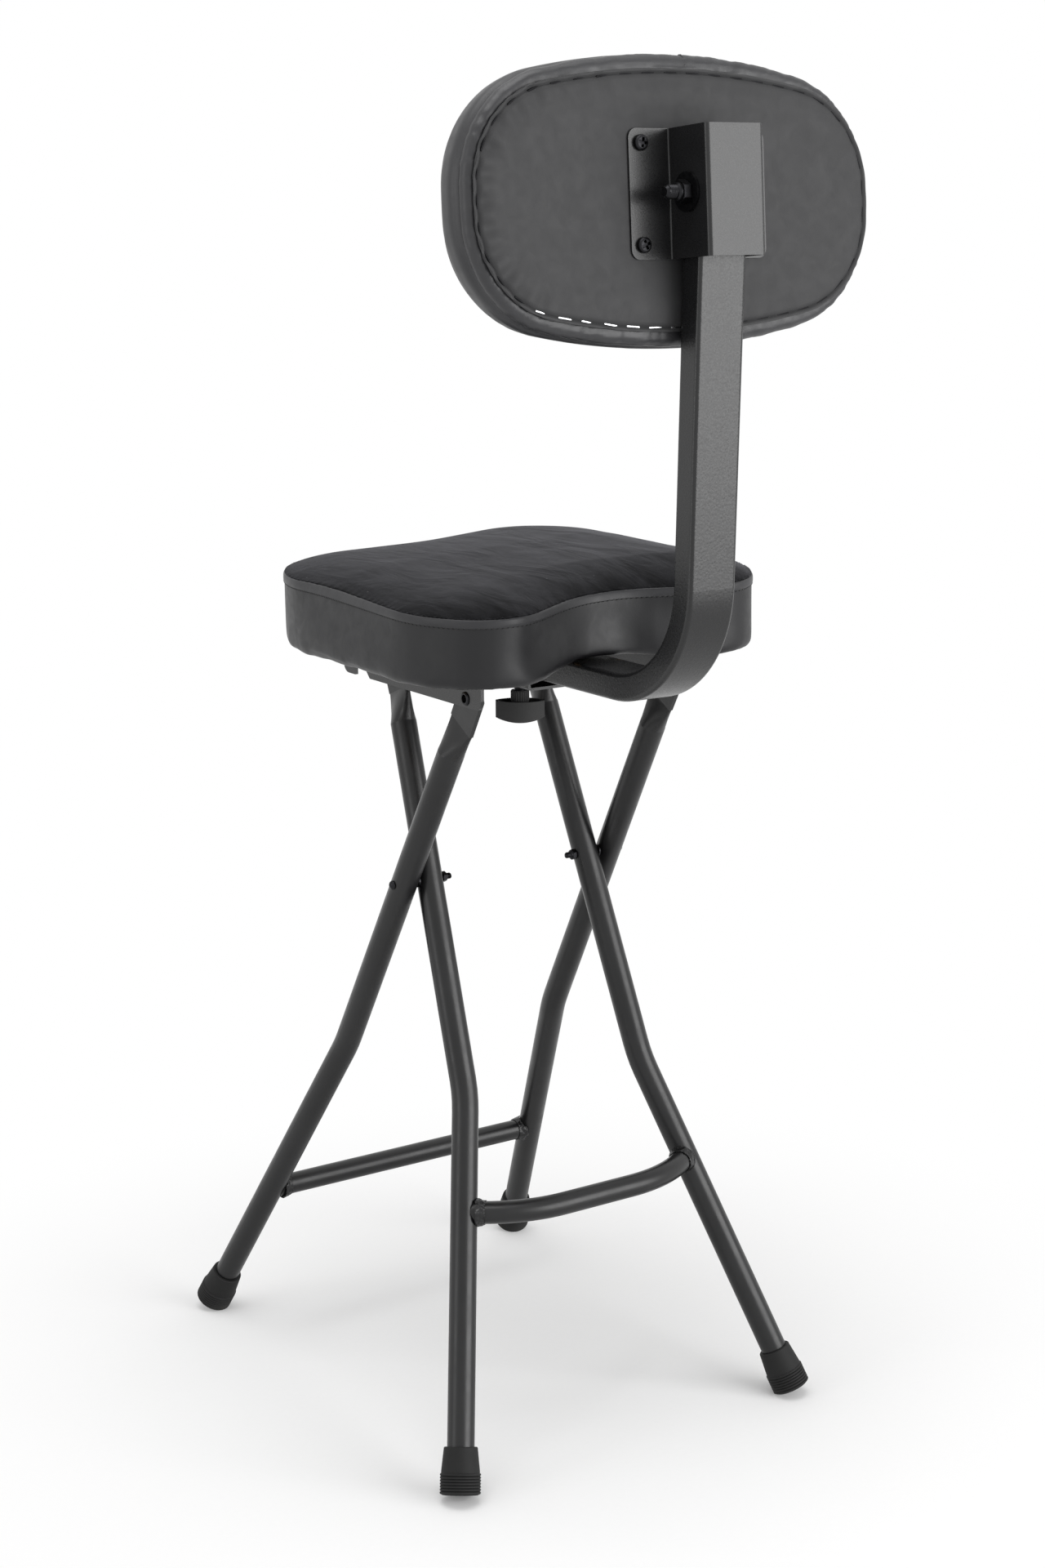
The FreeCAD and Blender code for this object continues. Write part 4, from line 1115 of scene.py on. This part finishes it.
    def settle(self, piece: Obj, low: Vector, seam: float) -> None:
        """Let the cushion settle: fuller in front, lower at the sitter's left, clear of the post.

        Args:
            piece: A piece of the cushion.
            low: Lowest corner of the CAD pad.
            seam: Height of the seam.
        """
        points = positions(piece)
        x = points[:, 0]
        y = points[:, 1] - joint_place("leg_fold")[1]
        above = self.lift - self.lean_left * x - self.lean_back * np.maximum(y, -self.level_front)
        below = np.minimum(-self.hang - self.hang_left * x, self.least_cover)
        room = np.clip((np.abs(x) - self.post_room[0]) / (self.post_room[1] - self.post_room[0]), 0, 1)
        below *= np.where(y > 0, np.maximum(room, np.clip(1 - y / self.post_reach, 0, 1)), 1)
        share = np.clip((points[:, 2] - low.z) / (seam - low.z), 0, 1)
        points[:, 2] += share * above + (1 - share) * below
        points[:, :2] += np.array(self.aside)
        put(piece, points)

    def hem(self, loop: np.ndarray, lower: np.ndarray) -> Obj:
        """Fold the vinyl's upper edge over: a flat strip with a rounded lip.

        Args:
            loop: Outline at the seam.
            lower: Outline at the strip's lower edge.

        Returns:
            The strip.
        """
        proud, height = self.hem_proud, self.hem_height
        profile = [(-1.2, -0.6), (-1.1, 0.5), (-0.4, 1.0), (0.3, 0.9), (proud, 0.2), (proud + 0.2, -0.8),
                   (proud + 0.2, -height * 0.6), (proud, -height), (0.05, -height - 0.45),
                   (-0.9, -height * 0.8)]
        return rope_round(loop, profile, "seat_folded_hem", lower)


@dataclass
class BackCushion(Cushion):
    """Backrest: vinyl cover gathered round a board, closed by a stapled panel."""

    pad: str = "backrest_pad"
    board: str = "backrest_board"
    body: str = "backrest"
    place: Matrix = field(default_factory=Matrix)
    drawn_in: float = 2.0 * MM
    panel: str = "backrest_panel"
    tilt: float = 4.0
    panel_wider: float = 1.03
    front_seam_from_rear: float = 35.0 * MM
    joint_x: float = 4.0 * MM
    joint_radius: float = 0.7 * MM
    joint_from_rear: float = 2.0 * MM
    joint_steps: int = 16
    # Half the front seam's width, in millimetres.
    seam_half_width: float = 1.1
    edge_points: int = 360
    staple_pitch: float = 17.2 * MM
    staple_inset: float = 2.6 * MM
    staple_size: tuple[float, float, float] = (9.6 * MM, 1.1 * MM, 0.7 * MM)
    staple_bevel: float = 0.2 * MM
    staple_sunk: float = 0.9 * MM
    staple_turn: float = 0.16
    staple_uneven: float = 0.12 * MM
    # Where the staples drawn with a painted highlight lie: across the panel, and below its middle.
    glint_between: tuple[float, float] = (-0.016, 0.118)
    glint_below_middle: float = 60.0 * MM
    gather_depth: float = 0.9 * MM
    gather_width: float = 14.0 * MM
    gather_at: float = 3.0 * MM
    # Each roll's height, its place above the rear and its width, in millimetres.
    rolls: tuple[tuple[float, float, float], ...] = ((1.6, 5.0, 3.5), (-1.9, 12.0, 2.4), (0.6, 19.0, 4.0))
    oval: float = 0.6
    broad_folds: tuple[float, float] = (15.0, 30.0)
    fine_folds: tuple[float, float] = (34.0, 45.0)
    fine_share: float = 0.8
    fine_from: float = 5.0
    # Steps in from the panel's edge, in millimetres.
    panel_insets: tuple[float, ...] = (0.6, 0.7, 0.7, 0.7, 0.8, 1.0, 1.4, 1.8, 2.2, 2.6, 3.0, 3.6, 4.4, 6.0)
    # Heights on the panel in millimetres. The groove's is followed by its width.
    groove: tuple[float, float] = (1.5, 1.3)
    pull: float = 0.9
    wander: float = 1.1
    puff: float = 1.1
    lip: float = 0.3
    wander_per_metre: float = 90.0
    pucker_at: float = 6.0 * MM
    pucker_width: float = 9.0 * MM
    puff_at: float = 15.0 * MM
    puff_width: float = 9.0 * MM
    lip_width: float = 1.0 * MM
    slack_over: float = 140.0 * MM
    least_slack: float = 0.25

    def __post_init__(self) -> None:
        """Stand the bench on the backrest's rear, square to its tilted panel."""
        upright = Matrix.Rotation(math.radians(90 + self.tilt), 4, "X")
        self.place = Matrix.Translation(joint_place("backrest_tilt")) @ upright

    def build(self) -> None:
        """Make the cover, its seams, the panel and its staples, and dress them."""
        cover = self.swollen("backrest_vinyl_cover")
        flat = copied(self.panel, "backrest_panel_outline", self.place)
        rear = positions(flat)[:, 2]
        edge = section(flat, float(rear.mean()), self.edge_points)
        bpy.data.objects.remove(flat)
        middle = edge[:, 0].mean()
        edge[:, 0] = middle + (edge[:, 0] - middle) * self.panel_wider
        back = float(rear.min())
        self.gather(cover, edge, back)
        front = self.seam(cover, back + self.front_seam_from_rear)
        joint = self.joint_seam(cover, back)
        panel = self.puckered_panel(edge, back, float(rear.max()))
        black, glinting = self.staples(edge, back)
        # The backrest's cover and panel take paler copies of the vinyl: painted light.
        finished(tidied(cover), Finishes.COVER, self.body, self.place, 60)
        finished(front, Finishes.COVER, self.body, self.place, 60)
        finished(joint, Finishes.COVER, self.body, self.place, 60)
        finished(panel, Finishes.PANEL, self.body, self.place, 60)
        finished(black, Finishes.STAPLES, self.body, self.place, 40)
        # The pale staples carry a painted highlight.
        finished(glinting, Finishes.GLINTING_STAPLES, self.body, self.place, 40)
        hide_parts(self.pad)
        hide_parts(self.panel)

    def gather(self, cover: Obj, edge: np.ndarray, back: float) -> None:
        """Roll the cover round the rear edge, crease it beside the roll and pleat it where it is fixed.

        Args:
            cover: The cover.
            edge: The panel's outline.
            back: Height of the panel's rear face on the bench.
        """
        points = positions(cover)
        normals = vertex_normals(cover)
        rise = points[:, 2] - back
        boxing = np.abs(normals[:, 2]) < 0.9
        roll = sum(a * np.exp(-((rise - at * MM) / (wide * MM)) ** 2) for a, at, wide in self.rolls) * boxing
        near = np.clip(1 - np.abs(rise - self.gather_at) / self.gather_width, 0, 1) ** 1.5
        centre = edge.mean(axis=0)
        turn = np.arctan2(points[:, 1] - centre[1], (points[:, 0] - centre[0]) * self.oval)
        pleats = np.array([self.pleat(a, r) for a, r in zip(turn, rise)])
        put(cover, points + normals * (roll * MM + near * pleats * self.gather_depth)[:, None])

    def pleat(self, turn: float, rise: float) -> float:
        """How far the gathered cover stands out: broad folds, and finer ones between them.

        Args:
            turn: Angle round the backrest's middle.
            rise: Height above the panel's rear face.

        Returns:
            The height, as a share of gather_depth.
        """
        x, y = math.cos(turn), math.sin(turn)
        across, up = self.broad_folds
        broad = noise.noise(Vector((x * across, y * across, rise * up)))
        across, up = self.fine_folds
        fine = noise.noise(Vector((x * across + self.fine_from, y * across, rise * up)))
        return broad + self.fine_share * fine

    def seam(self, cover: Obj, height: float) -> Obj:
        """Lay a narrow double-folded welt on the cover along one height.

        Args:
            cover: The cover.
            height: The welt's height on the bench.

        Returns:
            The welt.
        """
        loop = section(cover, height, RING_POINTS, 3)
        half = self.seam_half_width
        profile = [(-1.0, -half), (-1.0, half), (0.1, half), (0.5, half * 0.5), (0.6, 0.0),
                   (0.5, -half * 0.5), (0.1, -half)]
        return rope_round(loop, profile, "backrest_front_seam")

    def joint_seam(self, cover: Obj, back: float) -> Obj:
        """Sew the boxing's two ends together across its top.

        Args:
            cover: The cover.
            back: Height of the panel's rear face on the bench.

        Returns:
            The seam: a fine ridge over the boxing.
        """
        hull = search_tree(cover.data, Matrix())
        clear_selection()
        bpy.ops.mesh.primitive_circle_add(vertices=6, radius=self.joint_radius, fill_type="NGON")
        piece = bpy.context.object
        piece.name = "backrest_boxing_joint"
        rows = []
        for rise in np.linspace(self.joint_from_rear, self.front_seam_from_rear, self.joint_steps):
            rows.append(hull.ray_cast(Vector((self.joint_x, 0.3, back + rise)), Vector((0, -1, 0)))[0])
        put(piece, positions(piece) + np.array(rows[0]))
        for here, there in zip(rows, rows[1:]):
            with editing():
                bpy.ops.mesh.extrude_region_move(TRANSFORM_OT_translate={"value": there - here})
        return tidied(piece)

    def puckered_panel(self, edge: np.ndarray, low: float, high: float) -> Obj:
        """Lay the rear panel, drawn in at each staple and puffed up between them.

        Args:
            edge: The panel's outline.
            low: Bench height of its outer face.
            high: Bench height of its inner face.

        Returns:
            The panel.
        """
        clear_selection()
        bpy.ops.mesh.primitive_circle_add(vertices=len(edge), radius=0.1, fill_type="NGON")
        piece = bpy.context.object
        piece.name = "backrest_rear_panel"
        put(piece, edge * np.array([1, 1, 0]) + np.array([0, 0, low]))
        with editing():
            bpy.ops.mesh.select_all(action="SELECT")
            for step in self.panel_insets:
                bpy.ops.mesh.inset(thickness=step * MM, use_boundary=True)
        points = positions(piece)
        count = round(length_of(edge) / self.staple_pitch)
        phase = np.empty(len(points))
        inset = np.empty(len(points))
        for i, p in enumerate(points):
            gap = np.hypot(edge[:, 0] - p[0], edge[:, 1] - p[1])
            k = int(np.argmin(gap))
            phase[i], inset[i] = k / len(edge) * count, gap[k]
        pulled = self.pull * np.cos(2 * math.pi * phase)
        rate = self.wander_per_metre
        wandering = np.array([noise.noise(Vector((p[0] * rate, p[1] * rate, 3))) for p in points])
        deep, wide = self.groove
        groove = deep * np.exp(-((inset - self.staple_inset) / (wide * MM)) ** 2)
        pucker = (pulled + self.wander * wandering) * (inset > 0.4 * MM)
        pucker *= np.exp(-((inset - self.pucker_at) / self.pucker_width) ** 2)
        slack = np.clip((points[:, 0] - edge[:, 0].mean()) / self.slack_over, self.least_slack, 1)
        puff = self.puff * np.exp(-((inset - self.puff_at) / self.puff_width) ** 2)
        lip = self.lip * np.clip(1 - inset / self.lip_width, 0, 1)
        points[:, 2] += (groove + pucker * slack - puff + lip) * MM
        put(piece, points)
        thick = piece.modifiers.new("thick", "SOLIDIFY")
        thick.thickness = high - low
        thick.offset = 0.0
        select_only(piece)
        bpy.ops.object.modifier_apply(modifier="thick")
        return tidied(piece)

    def staples(self, edge: np.ndarray, back: float) -> tuple[Obj, Obj]:
        """Drive a row of wire staples along the panel's edge.

        Args:
            edge: The panel's outline.
            back: Bench height of the panel's outer face.

        Returns:
            The black staples, and the few along the lower edge that are drawn in pale wire, a painted highlight.
        """
        clear_selection()
        bpy.ops.mesh.primitive_cube_add(size=1)
        piece = bpy.context.object
        piece.name = "backrest_staples"
        piece.scale = self.staple_size
        bpy.ops.object.transform_apply(location=True, rotation=True, scale=True)
        with editing():
            bpy.ops.mesh.select_all(action="SELECT")
            bpy.ops.mesh.bevel(offset=self.staple_bevel, segments=1, affect="EDGES")
        count = round(length_of(edge) / self.staple_pitch)
        row = edge - outward(edge) * self.staple_inset
        row[:, 2] = back + self.staple_sunk
        strung(piece, row, count)
        points = positions(piece)
        each = len(points) // count
        glinting = np.zeros(len(points), dtype=bool)
        # The staples low on the panel's left are split off to be drawn pale: a painted highlight.
        left, right = self.glint_between
        low = edge[:, 1].mean() - self.glint_below_middle
        for k in range(count):
            own = slice(k * each, (k + 1) * each)
            middle = points[own].mean(axis=0)
            turn = Matrix.Rotation(self.staple_turn * noise.noise(Vector((k * 1.7, 0.3, 0))), 3, "Z")
            points[own] = (points[own] - middle) @ np.array(turn).T + middle
            points[own, 2] += self.staple_uneven * noise.noise(Vector((k * 2.3, 4.1, 0)))
            glinting[own] = middle[1] < low and left < middle[0] < right
        put(piece, points)
        select_only(piece)
        chosen(piece, "VERT", glinting)
        with editing():
            bpy.ops.mesh.separate(type="SELECTED")
        glinting_piece = next(o for o in bpy.context.selected_objects if o is not piece)
        glinting_piece.name = "backrest_glinting_staples"
        return tidied(piece), tidied(glinting_piece)


# Hardware and rubber


def facing(direction: Vector, at: Vector) -> Matrix:
    """Bench that stands at a point with its +Z along a direction.

    Args:
        direction: Where the bench's +Z points.
        at: The bench's origin.

    Returns:
        The bench's place.
    """
    return Matrix.Translation(at) @ direction.to_track_quat("Z", "Y").to_matrix().to_4x4()


def joined(pieces: list[Obj], name: str) -> Obj:
    """Join copies into one piece.

    Args:
        pieces: The copies.
        name: The new piece's name.

    Returns:
        The joined piece.
    """
    select_only(pieces[0])
    for piece in pieces[1:]:
        piece.select_set(True)
    bpy.ops.object.join()
    pieces[0].name = name
    return pieces[0]


@dataclass
class FootRibs:
    """Fine moulded ribs round the straight lower part of each rubber foot."""

    feet: dict[str, str] = field(default_factory=lambda: {
        "foot_front_left": "outer_frame", "foot_front_right": "outer_frame",
        "foot_rear_left": "inner_frame", "foot_rear_right": "inner_frame"})
    count: int = 7
    # Sizes of the ribs' profile, in millimetres.
    pitch: float = 2.0
    first: float = 1.6
    crest: float = 0.75
    crest_share: float = 0.44
    valley: float = 0.05
    root: float = -0.6
    sides: int = 56

    def build(self) -> None:
        """Make a ribbed sleeve for each foot and dress it."""
        for node, body in self.feet.items():
            base, axis, radius = self.stance(node)
            turn = np.linspace(0, 2 * math.pi, self.sides, endpoint=False)
            loop = np.column_stack([np.cos(turn), np.sin(turn), np.zeros(len(turn))]) * radius
            half = self.crest_share / 2 * self.pitch
            profile = [(self.root, self.first - 0.5 * self.pitch)]
            for at in (self.first + k * self.pitch for k in range(self.count)):
                profile += [(self.valley, at - 0.5 * self.pitch), (self.crest, at - half),
                            (self.crest, at + half)]
            top = self.first + (self.count - 0.5) * self.pitch
            profile += [(self.valley, top), (self.root, top)]
            sleeve = rope_round(loop, profile, node.replace("foot", "foot_ribs"))
            finished(sleeve, Finishes.RUBBER, body, facing(axis, base), 30)

    def stance(self, node: str) -> tuple[Vector, Vector, float]:
        """Where a foot stands.

        Args:
            node: The CAD foot.

        Returns:
            The middle of its sole, its axis, and its radius.
        """
        mesh = frame["nodes"][node].data
        soles: dict[tuple[float, ...], list[bpy.types.MeshPolygon]] = {}
        for face in mesh.polygons:
            if face.normal.z < -0.5:
                soles.setdefault(tuple(round(c, 2) for c in face.normal), []).append(face)
        sole = max(soles.values(), key=lambda faces: sum(f.area for f in faces))
        area = sum(f.area for f in sole)
        base = sum((f.center * f.area for f in sole), Vector()) / area
        axis = -sum((f.normal * f.area for f in sole), Vector()).normalized()
        radius = max(((v.co - base) - axis * (v.co - base).dot(axis)).length for v in mesh.vertices)
        return base, axis, radius


@dataclass
class WeldBeads:
    """Fillet welds, laid by hand: lumpy, rippled and painted over."""

    beads: dict[str, tuple[str, str, Finishes]] = field(default_factory=lambda: {
        "outer_welds": ("outer_frame", "leg_paint", Finishes.LEGS),
        "inner_welds": ("inner_frame", "leg_paint", Finishes.LEGS),
        "socket_welds": ("seat", "bracket_paint", Finishes.BRACKETS)})
    voxel: float = 0.75 * MM
    lump: float = 0.6 * MM
    lumps_per_metre: float = 330.0
    grit_per_metre: float = 750.0
    grit: float = 0.7
    sunk: float = 0.7

    def build(self) -> None:
        """Make every bead and dress it."""
        for node, (body, slot, finish) in self.beads.items():
            piece = copied(node, "rippled_" + node, Matrix())
            piece.data.remesh_voxel_size = self.voxel
            bpy.ops.object.voxel_remesh()
            points = positions(piece)
            lumps = np.array([noise.noise(Vector(p) * self.lumps_per_metre) for p in points])
            grit = np.array([noise.noise(Vector(p) * self.grit_per_metre) for p in points])
            rise = (lumps + self.grit * grit - self.sunk) * self.lump
            put(piece, points + vertex_normals(piece) * rise[:, None])
            finished(tidied(piece), finish, body, Matrix(), 70)
            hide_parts(node)


@dataclass
class CrossScrews:
    """Pan-head screws with a cross recess."""

    node: str
    body: str
    place: Matrix
    height: float
    recess: float = 0.62
    blade: float = 0.2
    rounding: float = 0.55
    sides: int = 28

    def build(self) -> None:
        """Make a head for each CAD screw and dress it."""
        source = copied(self.node, self.node + "_places", self.place)
        points = positions(source)
        bpy.data.objects.remove(source)
        middle = (points.min(axis=0) + points.max(axis=0)) / 2
        heads = []
        for sx in (-1, 1):
            for sy in (-1, 1):
                own = points[((points[:, 0] - middle[0]) * sx > 0) & ((points[:, 1] - middle[1]) * sy > 0)]
                low, high = own.min(axis=0), own.max(axis=0)
                head = self.head((high[0] - low[0]) / 2)
                turn = Matrix.Rotation(0.9 * sx + 0.5 * sy, 4, "Z")
                at = Vector(((low[0] + high[0]) / 2, (low[1] + high[1]) / 2, low[2] + self.height))
                head.data.transform(Matrix.Translation(at) @ Matrix.Rotation(math.pi, 4, "X") @ turn)
                heads.append(head)
        piece = tidied(joined(heads, "cross_headed_" + self.node))
        finished(piece, Finishes.HARDWARE, self.body, self.place, 35)
        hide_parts(self.node)

    def head(self, radius: float) -> Obj:
        """Model one head standing on the bench.

        Args:
            radius: Its radius in metres.

        Returns:
            The head.
        """
        clear_selection()
        bpy.ops.mesh.primitive_cylinder_add(vertices=self.sides, radius=radius, depth=self.height,
                                            location=(0, 0, self.height / 2))
        piece = bpy.context.object
        bpy.ops.object.transform_apply(location=True, rotation=True, scale=True)
        upper = positions(piece)[:, 2] > self.height / 2
        chosen(piece, "EDGE", [upper[list(edge.vertices)].all() for edge in piece.data.edges])
        with editing():
            bpy.ops.mesh.bevel(offset=self.height * self.rounding, segments=4, affect="EDGES")
        for turn in (0.0, math.pi / 2):
            clear_selection()
            bpy.ops.mesh.primitive_cube_add(size=1, location=(0, 0, self.height), rotation=(0, 0, turn))
            blade = bpy.context.object
            blade.scale = (2 * radius * self.recess, 2 * radius * self.blade, self.height * 1.1)
            bpy.ops.object.transform_apply(location=True, rotation=True, scale=True)
            cut = piece.modifiers.new("recess", "BOOLEAN")
            cut.operation = "DIFFERENCE"
            cut.object = blade
            select_only(piece)
            bpy.ops.object.modifier_apply(modifier="recess")
            bpy.data.objects.remove(blade)
        return piece


@dataclass
class RolledThread:
    """A rolled screw thread wound on the free end of a CAD bolt."""

    name: str
    body: str
    start: Vector
    direction: Vector
    radius: float
    length: float
    pitch: float = 1.25 * MM
    ridge: float = 0.52
    sunk: float = 0.1
    steps: int = 22

    def build(self) -> None:
        """Wind the thread and dress it."""
        clear_selection()
        bpy.ops.mesh.primitive_circle_add(
            vertices=3, radius=self.pitch * self.ridge, fill_type="NOTHING",
            location=(self.radius - self.pitch * self.sunk, 0, 0), rotation=(math.pi / 2, 0, 0))
        piece = bpy.context.object
        piece.name = self.name
        bpy.ops.object.transform_apply(location=True, rotation=True, scale=True)
        wind = piece.modifiers.new("wind", "SCREW")
        wind.axis = "Z"
        wind.angle = 2 * math.pi
        wind.screw_offset = self.pitch
        wind.iterations = max(1, int(self.length / self.pitch))
        wind.steps = wind.render_steps = self.steps
        select_only(piece)
        bpy.ops.object.modifier_apply(modifier="wind")
        with editing():
            bpy.ops.mesh.select_all(action="SELECT")
            bpy.ops.mesh.fill_holes(sides=4)
        place = facing(self.direction, self.start)
        finished(tidied(piece), Finishes.HARDWARE, self.body, place, 40)


def bolt_threads() -> list[RolledThread]:
    """Threads of the bolts whose ends stand out of their nuts.

    Returns:
        One thread for each free end.
    """
    _, y, z = joint_place("backrest_tilt")
    tilt_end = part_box("tilt_bolt")[1].x
    tilt_start = Vector((tilt_end - 8 * MM, y, z))
    threads = [RolledThread("tilt_bolt_thread", "backrest", tilt_start, Vector((1, 0, 0)),
                            radius=4.0 * MM, length=7.0 * MM)]
    _, y, z = joint_place("clamp_turn")
    low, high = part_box("clamp_screw")
    knob_top = Vector((0, y, z + 7.5 * MM))
    threads.append(RolledThread("clamp_screw_thread", "clamp", knob_top, Vector((0, 0, 1)),
                                radius=(high.x - low.x) / 2, length=8.0 * MM))
    _, y, z = joint_place("leg_fold")
    for side, node in ((1, "crossing_bolt_left"), (-1, "crossing_bolt_right")):
        low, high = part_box(node)
        tip = low.x if side > 0 else high.x
        start = Vector((tip + side * 3.3 * MM, y, z))
        threads.append(RolledThread(node + "_thread", "outer_frame", start, Vector((-side, 0, 0)),
                                    radius=2.0 * MM, length=3.0 * MM, pitch=0.7 * MM))
    return threads


@dataclass
class KnobGrip:
    """Fine moulded ribs round the knob's boss."""

    # Sizes in millimetres.
    radius: float = 6.25
    rib: float = 0.45
    height: float = 7.2
    count: int = 24

    def build(self) -> None:
        """Make the ribbed collar and dress it."""
        turn = np.linspace(0, 2 * math.pi, self.count * 4, endpoint=False)
        reach = self.radius + self.rib * (np.arange(len(turn)) % 4 < 2)
        loop = np.column_stack([np.cos(turn) * reach, np.sin(turn) * reach, np.zeros(len(turn))]) * MM
        profile = [(-0.7, 0.0), (0.0, 0.0), (0.0, self.height - 0.4), (-0.3, self.height),
                   (-0.7, self.height)]
        piece = rope_round(loop, profile, "clamp_knob_grip")
        place = Matrix.Translation(joint_place("clamp_turn"))
        finished(piece, Finishes.PLASTIC, "clamp", place, 25)


# Frame and studio


@dataclass
class MetalFrame:
    """The CAD nodes that keep their own shape and take a finish."""

    def dress(self) -> None:
        """Give every CAD node the finish of its slot."""
        for part in frame["record"]["subparts"]:
            piece = frame["nodes"][part["node"]]
            finish = SLOT_FINISH[part["material_slot"]].value.material()
            piece.data.materials.clear()
            piece.data.materials.append(finish)
            LOG.info("%s: %s", part["node"], finish.name)


@dataclass(frozen=True)
class PaleFloor(Finish):
    """Matt white floor that runs into a white backdrop and keeps the stool's soft shadow, with a painted shadow
    pool: to the camera it is lit grey near the stool and plain white further out.
    """

    colour: str = "#f4f4f4"
    speck: str = "#f7f7f7"
    speck_mm: float = 4.0
    lift: float = 0.05
    painted_shadow_pool: tuple[float, float] = (0.16, 0.62)

    def dress(self, tree: Tree, shader: Node, place: Socket) -> None:
        """Set the shader up.

        Args:
            tree: The material's node tree.
            shader: Its Principled shader.
            place: Object coordinates in metres.
        """
        grain = add_node(tree, "TexNoise", {"Vector": place, "Scale": per_mm(self.speck_mm), "Detail": 3.0})
        tone = add_node(tree, "Mix", {
            "Factor": grain, "A": linear(self.colour), "B": linear(self.speck)}, data_type="RGBA")
        rays = add_node(tree, "LightPath")
        lifted = add_node(tree, "Math", {
            0: rays.outputs["Is Camera Ray"], 1: self.lift}, operation="MULTIPLY")
        # Painted shadow pool: near the stool the camera sees the lit floor, which is grey; further out it sees
        # plain white.
        spread = add_node(tree, "VectorMath", {0: place}, operation="LENGTH")
        away = add_node(tree, "MapRange", {
            "Value": spread, "From Min": self.painted_shadow_pool[0], "From Max": self.painted_shadow_pool[1]},
            interpolation_type="SMOOTHSTEP")
        shown = add_node(tree, "Math", {
            0: rays.outputs["Is Camera Ray"], 1: rays.outputs["Is Glossy Ray"]}, operation="MAXIMUM")
        through = add_node(tree, "Math", {
            0: shown, 1: rays.outputs["Is Transmission Ray"]}, operation="MAXIMUM")
        share = add_node(tree, "Math", {0: away, 1: through}, operation="MULTIPLY")
        white = add_node(tree, "Emission", {"Strength": 1.0})
        mixed = add_node(tree, "MixShader", {0: share, 1: shader, 2: white})
        connect(tree, shader, {"Base Color": tone, "Roughness": 0.9, "Specular IOR Level": 0.1,
                               "Emission Color": (1, 1, 1, 1), "Emission Strength": lifted})
        connect(tree, tree.nodes["Material Output"], {"Surface": mixed})


@dataclass(frozen=True)
class Softbox:
    """One soft lamp: where it hangs, the point it faces, its width and height, and its power in watts."""

    name: str
    at: tuple[float, float, float]
    aim: tuple[float, float, float]
    size: tuple[float, float]
    watts: float

    def hang(self) -> None:
        """Hang the lamp and turn it to the point that it faces."""
        data = bpy.data.lights.new(self.name, "AREA")
        data.shape = "RECTANGLE"
        data.size, data.size_y = self.size
        data.energy = self.watts
        lamp = bpy.data.objects.new(self.name, data)
        bpy.context.scene.collection.objects.link(lamp)
        lamp.location = self.at
        lamp.rotation_euler = (Vector(self.aim) - Vector(self.at)).to_track_quat("-Z", "Y").to_euler()


@dataclass
class Studio:
    """Floor, soft light and the camera."""

    eye: tuple[float, float, float] = (0.9589, 1.4677, 0.8597)
    yaw: float = 213.2325
    pitch: float = 12.9153
    roll: float = 0.2868
    lens: float = 57.303
    sensor: float = 36.0
    sky: float = 0.55
    floor_size: float = 40.0
    softboxes: tuple[Softbox, ...] = (
        Softbox("key_softbox", at=(-1.2, 2.45, 0.95), aim=(0.0, 0.0, 0.6), size=(2.1, 1.8), watts=56.0),
        Softbox("side_softbox", at=(2.4, -0.1, 1.1), aim=(0.0, 0.0, 0.6), size=(0.9, 1.8), watts=8.0),
        Softbox("top_softbox", at=(0.3, 0.2, 2.6), aim=(0.0, 0.0, 0.5), size=(1.6, 1.6), watts=22.0))

    def build(self) -> None:
        """Lay the floor, hang the lamps and set the camera."""
        self.floor()
        self.world()
        for softbox in self.softboxes:
            softbox.hang()
        self.camera()

    def floor(self) -> None:
        """Lay the floor."""
        clear_selection()
        bpy.ops.mesh.primitive_plane_add(size=self.floor_size)
        floor = bpy.context.object
        floor.name = "studio_floor"
        floor.data.materials.append(PaleFloor("matt_white_floor").material())

    def world(self) -> None:
        """White to the camera and in reflections, softer as light."""
        world = bpy.data.worlds.new("white_backdrop")
        bpy.context.scene.world = world
        world.use_nodes = True
        tree = world.node_tree
        rays = add_node(tree, "LightPath")
        direct = add_node(tree, "Math", {
            0: rays.outputs["Is Camera Ray"], 1: rays.outputs["Is Glossy Ray"]}, operation="MAXIMUM")
        shown = add_node(tree, "Math", {
            0: direct, 1: rays.outputs["Is Transmission Ray"]}, operation="MAXIMUM")
        seen = add_node(tree, "Mix", {"Factor": shown, "A": self.sky, "B": 1.0}, data_type="FLOAT")
        connect(tree, tree.nodes["Background"], {"Color": (1, 1, 1, 1), "Strength": seen})

    def camera(self) -> None:
        """Set the camera at the photograph's angle."""
        yaw, pitch, roll = (math.radians(a) for a in (self.yaw, self.pitch, self.roll))
        ahead = Vector((math.sin(yaw) * math.cos(pitch), math.cos(yaw) * math.cos(pitch), -math.sin(pitch)))
        right = ahead.cross(Vector((0, 0, 1))).normalized()
        down = ahead.cross(right)
        across = right * math.cos(roll) + down * math.sin(roll)
        below = down * math.cos(roll) - right * math.sin(roll)
        data = bpy.data.cameras.new("camera")
        data.lens = self.lens
        data.sensor_width = self.sensor
        data.sensor_fit = "AUTO"
        camera = bpy.data.objects.new("camera", data)
        bpy.context.scene.collection.objects.link(camera)
        turned = Matrix((across, -below, -ahead)).transposed().to_4x4()
        camera.matrix_world = Matrix.Translation(self.eye) @ turned
        bpy.context.scene.camera = camera
        bpy.context.scene.view_settings.view_transform = "Standard"


def main() -> None:
    """Build the stool and its studio."""
    logging.basicConfig(level=logging.INFO, format="%(message)s")
    clear_selection()
    MetalFrame().dress()
    SeatCushion().build()
    back = BackCushion()
    back.build()
    FootRibs().build()
    WeldBeads().build()
    CrossScrews("bracket_screws", "backrest", back.place, 3.4 * MM).build()
    CrossScrews("seat_screws", "seat", Matrix(), 2.8 * MM).build()
    for thread in bolt_threads():
        thread.build()
    KnobGrip().build()
    Studio().build()


if __name__ == "__main__":
    main()
